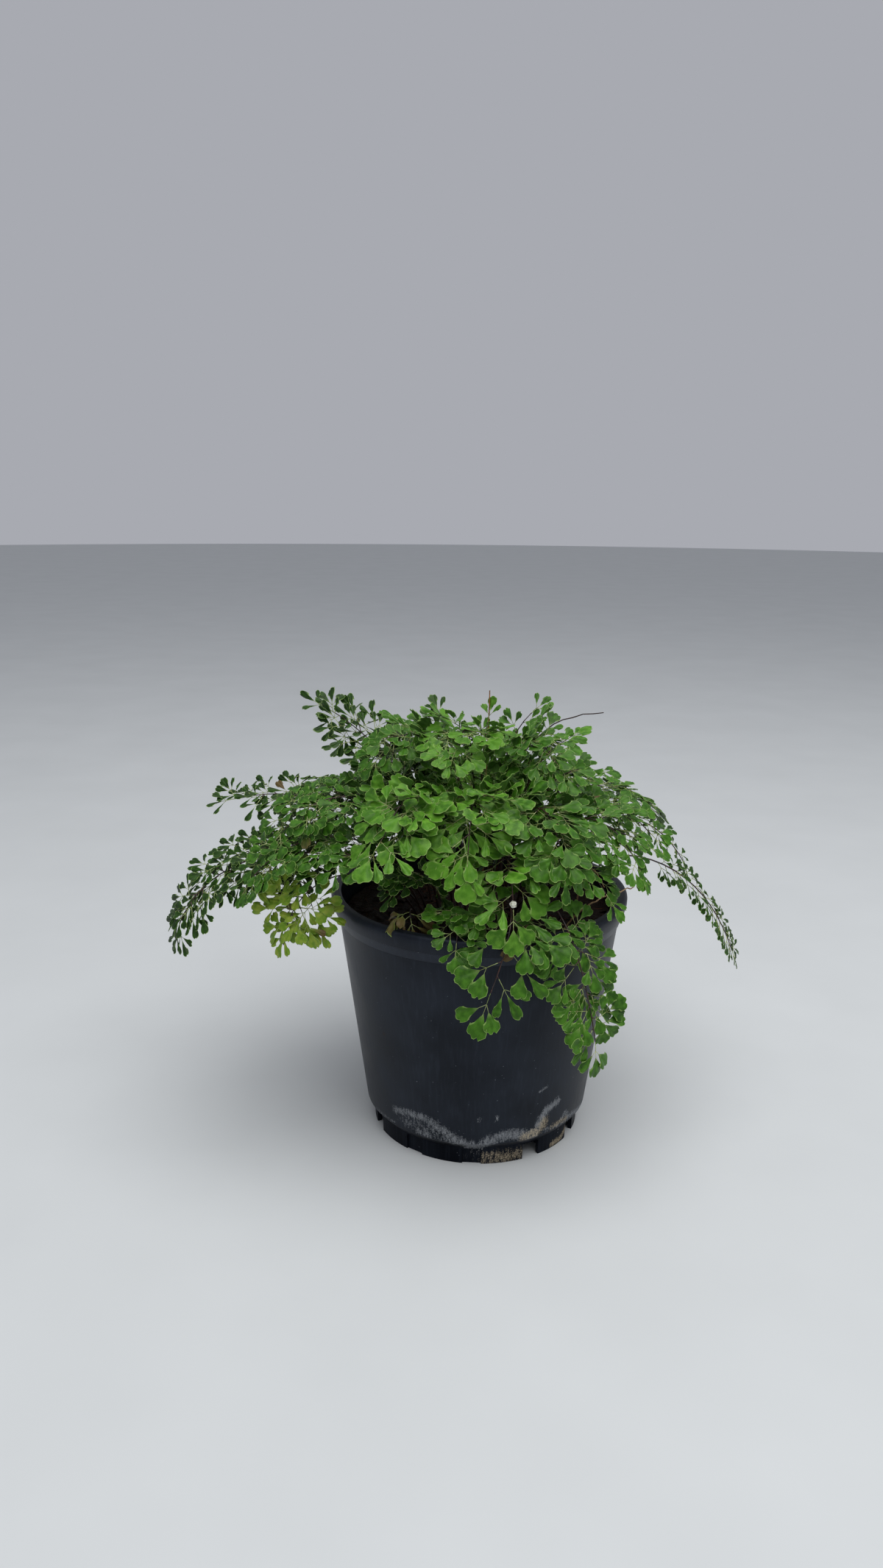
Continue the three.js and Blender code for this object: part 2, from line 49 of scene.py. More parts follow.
MM = 0.001
RIM_RADIUS = 70 * MM
POT_HEIGHT = 117.5 * MM
WALL = 1.8 * MM
WALL_TOP_RADIUS = 66.3 * MM
WALL_TOP = 105 * MM
BAND_MIDDLE = 109.6 * MM
BAND_TOP = 113.4 * MM
LIP_RADIUS = 2.1 * MM
SHOULDER_RADIUS = 53.7 * MM
SHOULDER_HEIGHT = 12.3 * MM
FOOT_RADIUS = 50 * MM
FOOT_HEIGHT = 8.5 * MM
FLOOR_BOTTOM = 4.5 * MM
FLOOR_TOP = 6.3 * MM
CENTRE_FOOT_RADIUS = 12 * MM
POT_STEPS = 264
NOTCH_COUNT = 11
NOTCH_WIDTH = 8.6 * MM
NOTCH_HEIGHT = 8 * MM
NOTCH_INNER_RADIUS = 46 * MM
NOTCH_CORNER = 0.8 * MM
FIRST_NOTCH = math.radians(-3.5)
BLIND_NOTCHES = (0, 10)
BLIND_DEPTH = 1 * MM
MARKED_HEIGHT = 42 * MM
RIM_GIVE = 0.35 * MM
POCK = (-43.4 * MM, -41.9 * MM, 61 * MM)

# The marks of hard water and of silt are strokes over the foot and the lower wall. Each has its
# half width in millimetres, its strength, and its course as degrees from the front and height. It
# is full to 0.3 of its half width and fades out by 2.1.
LIME_STROKES = [
    (1.5, 0.8, [(-44, 21), (-36, 22.6), (-28, 23), (-22, 21.4), (-17, 18), (-11, 15), (-4, 12)]),
    (3.4, 0.38, [(-37, 18), (-27, 18), (-19, 15.5)]),
    (1.3, 0.8, [(-31, 14.6), (-25, 13.8)]),
    (2.1, 0.95, [(-14, 14), (-5, 11.6), (-1, 9.5), (4, 13.4), (9, 16), (16, 17), (22, 15), (28, 14)]),
    (1.2, 0.9, [(-5, 10), (-6.5, 5)]),
    (1.6, 1.1, [(30, 16), (31.5, 21.5), (34, 25.5), (40, 28)]),
    (1.0, 0.9, [(46, 16.5), (48.4, 18.8), (52, 15.4), (60, 13.8), (72, 12.6)]),
    (0.7, 0.75, [(34, 14.4), (44, 13.6), (52, 14)]),
    (0.6, 0.7, [(-64, 12.6), (-54, 13), (-46, 13.2)]),
    (0.6, 0.8, [(-40, 6), (-38, 4.6), (-36.4, 6), (-38, 7)]),
    (0.8, 0.9, [(-2.2, 5.2), (-2.2, 3.2)]),
    (0.4, 0.85, [(-0.5, 25), (-0.5, 27)]),
    (0.35, 0.85, [(8.4, 25.6), (8.4, 27.4)]),
    (0.5, 0.9, [(28.6, 37.2), (32.5, 38.8)]),
]
SILT_STROKES = [
    (1.8, 1.0, [(22.5, 14), (28, 14.6), (32, 16), (33.5, 19.6)]),
    (0.9, 0.9, [(39, 14.4), (45, 15), (50, 14.6)]),
    (2.7, 0.52, [(4, 3), (12, 3), (22.5, 3)]),
    (1.6, 0.72, [(10, 2.4), (16, 3), (21, 3.4)]),
    (1.1, 0.9, [(44, 1.6), (52, 2), (57, 5)]),
]
STROKE_FULL, STROKE_GONE = 0.3, 2.1
MM_PER_DEGREE = 0.94


def linear(hex_colour):
    """An sRGB hex value as the linear colour that a shader takes."""
    channels = [(hex_colour >> shift & 255) / 255 for shift in (16, 8, 0)]
    return (*[c / 12.92 if c <= 0.04045 else ((c + 0.055) / 1.055) ** 2.4 for c in channels], 1)


def set_inputs(node, inputs):
    """Sets a node's inputs, by name or number. Each takes a number, a colour, an output or a
    node, which stands for the first of its outputs that is in use."""
    for name, value in inputs.items():
        socket = node.inputs[name]
        if isinstance(value, bpy.types.Node):
            value = next(output for output in value.outputs if not output.is_unavailable)
        if isinstance(value, bpy.types.NodeSocket):
            node.id_data.links.new(value, socket)
        else:
            socket.default_value = value


def add_node(material, kind, inputs=None, **settings):
    """Adds a node with its settings and inputs. By number, a Math node's values are 0 to 2, a
    Mix has its share at 0 and its two colours at 6 and 7, and a Map Range turns the range from
    1 to 2 into the range from 3 to 4."""
    node = material.node_tree.nodes.new("ShaderNode" + kind)
    if kind == "Mix":
        node.data_type = "RGBA"
    for name, value in settings.items():
        setattr(node, name, value)
    set_inputs(node, inputs or {})
    return node


def new_finish(name, constants):
    """A material, its shader with what is the same all over, and add_node for this material."""
    material = bpy.data.materials.new(name)
    material.use_nodes = True
    shader = material.node_tree.nodes["Principled BSDF"]
    set_inputs(shader, constants)
    return material, shader, functools.partial(add_node, material)


def new_object(name, data):
    """An object with this data, in the scene."""
    made = bpy.data.objects.new(name, data)
    bpy.context.scene.collection.objects.link(made)
    return made


def mesh_from(name, bm):
    """Ends a bmesh as a mesh."""
    mesh = bpy.data.meshes.new(name)
    bm.to_mesh(mesh)
    bm.free()
    return mesh


def piece_from(name, bm, *materials):
    """Ends a bmesh as a named piece at the origin that rides with the pot."""
    mesh = mesh_from(name, bm)
    for material in materials:
        mesh.materials.append(material)
    piece = new_object(name, mesh)
    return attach(piece, "root")


def smooth_piece(piece, crease_degrees):
    """Smooth shading that stays crisp at edges sharper than the crease."""
    piece.data.shade_smooth()
    piece.data.set_sharp_from_angle(angle=math.radians(crease_degrees))


def drawn_profile(bm, points):
    """A chain of edges through [radius, height] points, ready to be spun about Z."""
    verts = [bm.verts.new((radius, 0, height)) for radius, height in points]
    return [bm.edges.new(pair) for pair in zip(verts, verts[1:])]


def spun_round(bm, steps):
    """Turns a drawn profile into a closed body of revolution."""
    drawn = list(bm.verts) + list(bm.edges)
    bmesh.ops.spin(bm, geom=drawn, cent=(0, 0, 0), axis=(0, 0, 1), angle=math.tau, steps=steps,
                   use_merge=True)
    bmesh.ops.remove_doubles(bm, verts=bm.verts, dist=0.01 * MM)
    bmesh.ops.recalc_face_normals(bm, faces=bm.faces)


def rolled_lip():
    """The lip's outer roll, over its top and down to its inner edge."""
    radius, height = RIM_RADIUS - LIP_RADIUS, BAND_TOP + LIP_RADIUS - 0.1 * MM
    roll = [(radius + LIP_RADIUS * math.cos(turn), height + LIP_RADIUS * math.sin(turn))
            for turn in map(math.radians, range(0, 100, 18))]
    return [*roll, (RIM_RADIUS - 3.9 * MM, POT_HEIGHT), (RIM_RADIUS - 4.7 * MM, POT_HEIGHT - 0.6 * MM)]


def pot_shell():
    """The pot's section, spun round. The lower wall has the most rows, to hold its marks."""
    inner_foot = FOOT_RADIUS - WALL
    taper = (WALL_TOP_RADIUS - SHOULDER_RADIUS) / (WALL_TOP - SHOULDER_HEIGHT)
    bm = bmesh.new()
    edges = drawn_profile(bm, [
        # Below: the centre foot, the floor and the foot ring.
        (0, 0),
        (CENTRE_FOOT_RADIUS, 0),
        (CENTRE_FOOT_RADIUS, FLOOR_BOTTOM),
        (inner_foot, FLOOR_BOTTOM),
        (inner_foot, 0),
        (FOOT_RADIUS, 0),
        # Outside: the foot, the shoulder, the wall, and the band with its line, up to the lip.
        (FOOT_RADIUS + 0.3 * MM, FOOT_HEIGHT),
        (SHOULDER_RADIUS, SHOULDER_HEIGHT),
        (SHOULDER_RADIUS + taper * (MARKED_HEIGHT - SHOULDER_HEIGHT), MARKED_HEIGHT),
        (WALL_TOP_RADIUS, WALL_TOP),
        (WALL_TOP_RADIUS + 0.7 * MM, WALL_TOP + 0.3 * MM),
        (RIM_RADIUS - 1.5 * MM, BAND_MIDDLE),
        (RIM_RADIUS - 1.2 * MM, BAND_MIDDLE + 0.2 * MM),
        (RIM_RADIUS - 0.1 * MM, BAND_TOP),
        *rolled_lip(),
        # Inside, down to the floor.
        (WALL_TOP_RADIUS - WALL, WALL_TOP),
        (SHOULDER_RADIUS - WALL, SHOULDER_HEIGHT + 0.6 * MM),
        (inner_foot, FOOT_HEIGHT + 1 * MM),
        (inner_foot, FLOOR_TOP),
        (0, FLOOR_TOP),
    ])
    foot, step, marked_wall, bare_wall = edges[5:9]
    for edge, cuts in ((foot, 7), (step, 3), (marked_wall, 24), (bare_wall, 24)):
        bmesh.ops.subdivide_edges(bm, edges=[edge], cuts=cuts)
    spun_round(bm, POT_STEPS)
    return bm


def warp_of_soft_plastic(bm):
    """A thin moulded wall is never quite round; the rim is the least stiff."""
    for vert in bm.verts:
        angle = math.atan2(vert.co.y, vert.co.x)
        give = RIM_GIVE * (vert.co.z / POT_HEIGHT) ** 2
        swell = give * math.sin(2 * angle + 0.6) + 0.4 * give * math.sin(5 * angle)
        vert.co.xy *= 1 + swell / RIM_RADIUS


def notch_cutter():
    """A block for each notch round the foot, in one mesh; those of the blind ones reach in less."""
    bm = bmesh.new()
    for number in range(NOTCH_COUNT):
        inner = FOOT_RADIUS - BLIND_DEPTH if number in BLIND_NOTCHES else NOTCH_INNER_RADIUS
        depth = SHOULDER_RADIUS + 4 * MM - inner
        block = bmesh.ops.create_cube(bm, size=1)["verts"]
        bmesh.ops.scale(bm, vec=(NOTCH_WIDTH, depth, 2 * NOTCH_HEIGHT), verts=block)
        bmesh.ops.translate(bm, vec=(0, -inner - depth / 2, 0), verts=block)
        turn = FIRST_NOTCH + math.tau * number / NOTCH_COUNT
        bmesh.ops.rotate(bm, verts=block, matrix=Matrix.Rotation(turn, 3, "Z"))
    upright = [e for e in bm.edges if min(v.co.z for v in e.verts) > 0]
    bmesh.ops.bevel(bm, geom=upright, affect="EDGES", offset=NOTCH_CORNER, segments=2, profile=0.5,
                    material=-1)
    return new_object("notch_cutter", mesh_from("notch_cutter", bm))


def applied(piece):
    """Puts the piece's modifiers into its mesh."""
    depsgraph = bpy.context.evaluated_depsgraph_get()
    mesh = bpy.data.meshes.new_from_object(piece.evaluated_get(depsgraph))
    piece.modifiers.clear()
    piece.data = mesh
    return piece


def smoothly(low, high, value):
    """0 below low, 1 above high, and a smooth rise between."""
    share = min(max((value - low) / (high - low), 0), 1)
    return share * share * (3 - 2 * share)


def mark_strength(strokes, degrees, height):
    """The strongest of the strokes at this angle and this height in millimetres."""
    strongest = 0
    place = Vector((degrees * MM_PER_DEGREE, height))
    for half_width, strength, course in strokes:
        for (left, low), (right, high) in zip(course, course[1:]):
            start, end = Vector((left * MM_PER_DEGREE, low)), Vector((right * MM_PER_DEGREE, high))
            _, share = geometry.intersect_point_line(place, start, end)
            away = (place - start.lerp(end, min(max(share, 0), 1))).length
            cover = smoothly(STROKE_GONE * half_width, STROKE_FULL * half_width, away)
            strongest = max(strongest, strength * cover)
    return strongest


def mark_the_pot(mesh):
    """Stores lime and silt on the mesh, so that both follow the wall."""
    for name, strokes in (("lime", LIME_STROKES), ("silt", SILT_STROKES)):
        values = []
        for vert in mesh.vertices:
            x, y, z = vert.co
            marked = math.hypot(x, y) > FOOT_RADIUS - 2 * BLIND_DEPTH and z < MARKED_HEIGHT and y < 0
            degrees = math.degrees(math.atan2(x, -y))
            values.append(mark_strength(strokes, degrees, z / MM) if marked else 0)
        mesh.attributes.new(name, "FLOAT", "POINT").data.foreach_set("value", values)


def black_polypropylene():
    """Moulded black polypropylene: satin, a little blue, and greyed by fine rubs down the wall."""
    material, shader, add = new_finish("moulded_black_polypropylene", {
        "IOR": 1.49, "Specular Tint": (0.78, 0.9, 1.12, 1)})
    place = add("TexCoord").outputs["Object"]
    height = add("SeparateXYZ", {"Vector": place}).outputs["Z"]
    drawn_down = add("Mapping", {"Vector": place, "Scale": (1, 1, 0.04)})
    # Rubs from stacking and handling, about 1.5 mm wide and many times as long.
    rubs = add("TexNoise", {"Vector": drawn_down, "Scale": 650, "Detail": 3})
    rubbed = add("MapRange", {"Value": rubs, 1: 0.5, 2: 0.78, 3: 0, 4: 0.3})
    clouds = add("TexNoise", {"Vector": place, "Scale": 45, "Detail": 4})
    clouded = add("MapRange", {"Value": clouds, 1: 0.35, 2: 0.75, 3: 0, 4: 0.5})
    worn = add("Math", {0: rubbed, 1: clouded}, operation="ADD")
    # The band's lower half is painted greyer than the rest: partly scuffs where the next pot of a
    # stack rubs on it, partly a painted reflection of the pale table in that downward-facing half.
    over_wall = add("MapRange", {"Value": height, 1: WALL_TOP, 2: WALL_TOP + 0.4 * MM})
    under_lip = add("MapRange", {"Value": height, 1: BAND_MIDDLE + 0.2 * MM,
                                                2: BAND_MIDDLE - 0.2 * MM})
    band_scuffs_and_painted_reflection = add("Math", {0: over_wall, 1: under_lip}, operation="MULTIPLY")
    wear_and_painted_band_reflection = add("Math", {0: band_scuffs_and_painted_reflection, 1: 0.4, 2: worn}, operation="MULTIPLY_ADD")
    plastic = add("Mix", {0: wear_and_painted_band_reflection, 6: linear(0x090B10), 7: linear(0x2A2F38)})
    # Specks of dried water, under a millimetre across.
    specks = add("TexNoise", {"Vector": place, "Scale": 900, "Detail": 1})
    speckled = add("MapRange", {"Value": specks, 1: 0.77, 2: 0.82, 3: 0, 4: 0.5})
    dusted = add("Mix", {0: speckled, 6: plastic, 7: linear(0x8A8F95)})
    # A brown pock near the left of the wall, 2.4 mm across.
    from_pock = add("VectorMath", {0: place, 1: POCK}, operation="DISTANCE")
    pock = add("MapRange", {"Value": from_pock, 1: 1.3 * MM, 2: 0.8 * MM, 3: 0, 4: 1})
    pocked = add("Mix", {0: pock, 6: dusted, 7: linear(0x1A0F0A)})
    # Lime and silt are crystals and grains of about half a millimetre. Where a stroke is weak only
    # some of them show, and they run down the wall a little, as the water did.
    grains = add("TexNoise", {"Vector": place, "Scale": 1700, "Detail": 3})
    run_down = add("Mapping", {"Vector": place, "Scale": (1, 1, 0.3)})
    runs = add("TexNoise", {"Vector": run_down, "Scale": 1100, "Detail": 2})
    texture = add("Math", {0: grains, 1: runs}, operation="ADD")
    crusts = []
    for name, high in (("lime", 0.68), ("silt", 0.9)):
        stroke = add("Attribute", attribute_name=name).outputs["Fac"]
        field = add("Math", {0: texture, 1: 2.2, 2: stroke}, operation="MULTIPLY_ADD")
        broken = add("MapRange", {"Value": field, 1: 2.4, 2: 3.5, 3: 0, 4: high})
        inside = add("MapRange", {"Value": stroke, 1: 0, 2: 0.2})
        crusts.append(add("Math", {0: broken, 1: inside}, operation="MULTIPLY"))
    lime, silt = crusts
    limed = add("Mix", {0: lime, 6: pocked, 7: linear(0x9A9DA0)})
    silt_tone = add("Mix", {0: grains, 6: linear(0x6B5C45), 7: linear(0xC9BCA2)})
    silted = add("Mix", {0: silt, 6: limed, 7: silt_tone})
    crust = add("Math", {0: lime, 1: silt}, operation="MAXIMUM")
    gloss = add("MapRange", {"Value": worn, 1: 0, 2: 0.8, 3: 0.36, 4: 0.55})
    dulled = add("Math", {0: crust, 1: 0.5, 2: gloss}, operation="MULTIPLY_ADD")
    # The specular level falls from the shoulder down to the foot, so the foot under the shoulder shows
    # less sheen and stays a darker black: painted shade.
    sheen_painted_shade_at_foot = add("MapRange", {"Value": height, 1: FOOT_HEIGHT, 2: SHOULDER_HEIGHT, 3: 0.05, 4: 0.24})
    raised = add("Math", {0: crust, 1: 3, 2: rubs}, operation="MULTIPLY_ADD")
    bump = add("Bump", {"Height": raised, "Strength": 0.25, "Distance": 0.1 * MM})
    set_inputs(shader, {"Base Color": silted, "Roughness": dulled, "Specular IOR Level": sheen_painted_shade_at_foot,
                        "Normal": bump})
    return material


shell = pot_shell()
warp_of_soft_plastic(shell)
pot_plastic = black_polypropylene()
pot = piece_from("nursery_pot", shell, pot_plastic)
cutter = notch_cutter()
notches = pot.modifiers.new("drainage_notches", "BOOLEAN")
notches.object = cutter
notches.solver = "EXACT"
applied(pot)
bpy.data.objects.remove(cutter)
mark_the_pot(pot.data)
smooth_piece(pot, 20)
edges = pot.modifiers.new("moulded_edges", "BEVEL")
edges.width = 0.25 * MM
edges.segments = 2
edges.limit_method = "ANGLE"
edges.angle_limit = math.radians(40)
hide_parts("pot")

# ---- Potting mix -------------------------------------------------------------------------------
# A rooted mass of composted bark and coir that fills the pot to a finger below its rim. It was
# tipped in loose and watered down, so its top is humped, with bark chips and fibres lying on it.

MIX_LEVEL = 106 * MM
MIX_EDGE = 103 * MM
MIX_RADIUS = 63.4 * MM
MIX_STEPS = 96
CHIP_COUNT = 420
FIBRE_COUNT = 130
FIBRE_RADIUS = 0.16 * MM
FIBRE_STEPS = 7


def mix_height(x, y):
    """The mix's top in metres: long humps with shorter ones and crumbs on them."""
    across, deep = x / MM, y / MM
    humps = math.sin(0.075 * across + 1.1) * math.cos(0.09 * deep - 0.4)
    crumbs = math.sin(0.31 * across - 0.22 * deep) * math.cos(0.27 * deep + 0.18 * across)
    grit = noise.fractal((across / 5, deep / 5, 2), 0.6, 2.1, 4)
    return MIX_LEVEL + (1.3 * humps + 0.65 * crumbs + 1.1 * grit) * MM


def on_the_mix(rng, margin):
    """A random place on the mix's top, evenly spread over its disc."""
    distance = (MIX_RADIUS - margin) * math.sqrt(rng.random())
    angle = rng.uniform(0, math.tau)
    x, y = distance * math.cos(angle), distance * math.sin(angle)
    return Vector((x, y, mix_height(x, y)))


def mix_bed():
    """The whole mass of the mix, from the pot's floor to its humped top."""
    bm = bmesh.new()
    foot = FOOT_RADIUS - WALL - 0.6 * MM
    edges = drawn_profile(bm, [
        (0, FLOOR_TOP + 0.3 * MM),
        (foot, FLOOR_TOP + 0.3 * MM),
        (foot, FOOT_HEIGHT + 1 * MM),
        (SHOULDER_RADIUS - WALL - 0.6 * MM, SHOULDER_HEIGHT + 0.9 * MM),
        (MIX_RADIUS, MIX_EDGE),
        (MIX_RADIUS - 0.6 * MM, MIX_LEVEL - 1.5 * MM),
        (0, MIX_LEVEL),
    ])
    bmesh.ops.subdivide_edges(bm, edges=edges[-1:], cuts=34)
    spun_round(bm, MIX_STEPS)
    for vert in bm.verts:
        if vert.co.z > MIX_EDGE + 1 * MM:
            vert.co.z = mix_height(vert.co.x, vert.co.y)
    return bm


def bark_chips(rng):
    """Flat, broken chips of bark, 2 to 8 mm long, half sunk in the mix."""
    bm = bmesh.new()
    shade = bm.verts.layers.float.new("shade")
    for _ in range(CHIP_COUNT):
        half = rng.uniform(1.4, 4.2) * MM * rng.choice((0.6, 1, 1))
        chip = bmesh.ops.create_icosphere(bm, subdivisions=1, radius=1)["verts"]
        tone = rng.random()
        for vert in chip:
            vert.co *= rng.uniform(0.75, 1.25)
            vert[shade] = tone
        place = on_the_mix(rng, 3 * MM)
        turn = Matrix.Rotation(rng.uniform(0, math.tau), 4, "Z")
        tip = Matrix.Rotation(rng.gauss(0, 0.45), 4, "X")
        size = Matrix.Diagonal((half, half * rng.uniform(0.4, 0.8), half * 0.28, 1))
        bmesh.ops.transform(bm, verts=chip, matrix=Matrix.Translation(place) @ turn @ tip @ size)
    return bm


def strand_mesh(strands, sides=4):
    """One mesh of round strands with 4, 6 or 8 sides. Each strand is a list of (point, radius)."""
    curve = bpy.data.curves.new("strands", "CURVE")
    curve.dimensions = "3D"
    curve.bevel_depth = 1
    curve.bevel_resolution = (sides - 4) // 2
    curve.use_fill_caps = True
    for strand in strands:
        spline = curve.splines.new("POLY")
        spline.points.add(len(strand) - 1)
        for knot, (point, radius) in zip(spline.points, strand):
            knot.co = (*point, 1)
            knot.radius = radius
    holder = new_object("strands", curve)
    bpy.context.view_layer.update()
    depsgraph = bpy.context.evaluated_depsgraph_get()
    mesh = bpy.data.meshes.new_from_object(holder.evaluated_get(depsgraph))
    bpy.data.objects.remove(holder)
    bpy.data.curves.remove(curve)
    bm = bmesh.new()
    bm.from_mesh(mesh)
    bmesh.ops.remove_doubles(bm, verts=bm.verts, dist=0.001 * MM)
    for face in bm.faces:
        face.smooth = True
    bm.to_mesh(mesh)
    bm.free()
    return mesh


def coir_fibres(rng):
    """Coir and fine roots, each a springy hair 8 to 24 mm long that lies on the mix."""
    strands = []
    for _ in range(FIBRE_COUNT):
        point = on_the_mix(rng, 8 * MM)
        heading, bend = rng.uniform(0, math.tau), rng.gauss(0, 0.35)
        length, lift = rng.uniform(8, 24) * MM, rng.uniform(0.2, 2) * MM
        strand = []
        for step in range(FIBRE_STEPS + 1):
            share = step / FIBRE_STEPS
            height = mix_height(point.x, point.y) + lift * math.sin(math.pi * share)
            strand.append((Vector((point.x, point.y, height)), FIBRE_RADIUS * (1 - 0.6 * share)))
            heading += bend
            point = point + Vector((math.cos(heading), math.sin(heading), 0)) * length / FIBRE_STEPS
            if point.xy.length > MIX_RADIUS - 1 * MM:
                break
        if len(strand) > 2:
            strands.append(strand)
    bm = bmesh.new()
    bm.from_mesh(strand_mesh(strands))
    return bm


def damp_bark():
    """Composted bark and coir, damp: nearly black, with red-brown bark showing in it."""
    material, shader, add = new_finish("damp_composted_bark", {"Specular IOR Level": 0.25})
    place = add("TexCoord").outputs["Object"]
    # Crumbs of 2 to 3 mm, and grit of half a millimetre on them.
    crumbs = add("TexVoronoi", {"Vector": place, "Scale": 420})
    grit = add("TexNoise", {"Vector": place, "Scale": 1800, "Detail": 4})
    tone = add("Attribute", attribute_name="shade").outputs["Fac"]
    mixed = add("Math", {0: tone, 1: 0.6, 2: crumbs}, operation="MULTIPLY_ADD")
    dark = add("Mix", {0: mixed, 6: linear(0x0A0706), 7: linear(0x2A1C15)})
    red = add("MapRange", {"Value": grit, 1: 0.5, 2: 0.72, 3: 0, 4: 0.55})
    brown = add("Mix", {0: red, 6: dark, 7: linear(0x3A2419)})
    damp = add("MapRange", {"Value": grit, 1: 0.3, 2: 0.7, 3: 0.6, 4: 0.95})
    height = add("Math", {0: crumbs, 1: grit}, operation="ADD")
    bump = add("Bump", {"Height": height, "Strength": 0.9, "Distance": 0.8 * MM})
    set_inputs(shader, {"Base Color": brown, "Roughness": damp, "Normal": bump})
    return material


def two_toned(add, shader, scale, detail, band, tones):
    """Colours a surface in two tones that drift into each other, and returns the pattern. Where
    the pattern is below the band there is only the first tone, and above it only the second."""
    place = add("TexCoord").outputs["Object"]
    pattern = add("TexNoise", {"Vector": place, "Scale": scale, "Detail": detail})
    share = add("MapRange", {"Value": pattern, 1: band[0], 2: band[1]})
    tone = add("Mix", {0: share, 6: linear(tones[0]), 7: linear(tones[1])})
    set_inputs(shader, {"Base Color": tone})
    return pattern


def dry_fibre(name, pale, deep):
    """Dead plant fibre: dull, and streaked along its length with a darker tone."""
    material, shader, add = new_finish(name, {"Specular IOR Level": 0.3, "Roughness": 0.75})
    # Streaks and joints are 1 to 3 mm long.
    streaks = two_toned(add, shader, 500, 3, (0.35, 0.68), (pale, deep))
    bump = add("Bump", {"Height": streaks, "Strength": 0.4, "Distance": 0.1 * MM})
    set_inputs(shader, {"Normal": bump})
    return material


bark = damp_bark()
bed = piece_from("potting_mix_bed", mix_bed(), bark)
smooth_piece(bed, 50)
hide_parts("potting_mix")
chips = piece_from("bark_chips", bark_chips(random.Random(11)), bark)
coir = dry_fibre("coir_fibre", 0x6B4027, 0x2C1810)
fibres = piece_from("coir_fibres", coir_fibres(random.Random(12)), coir)
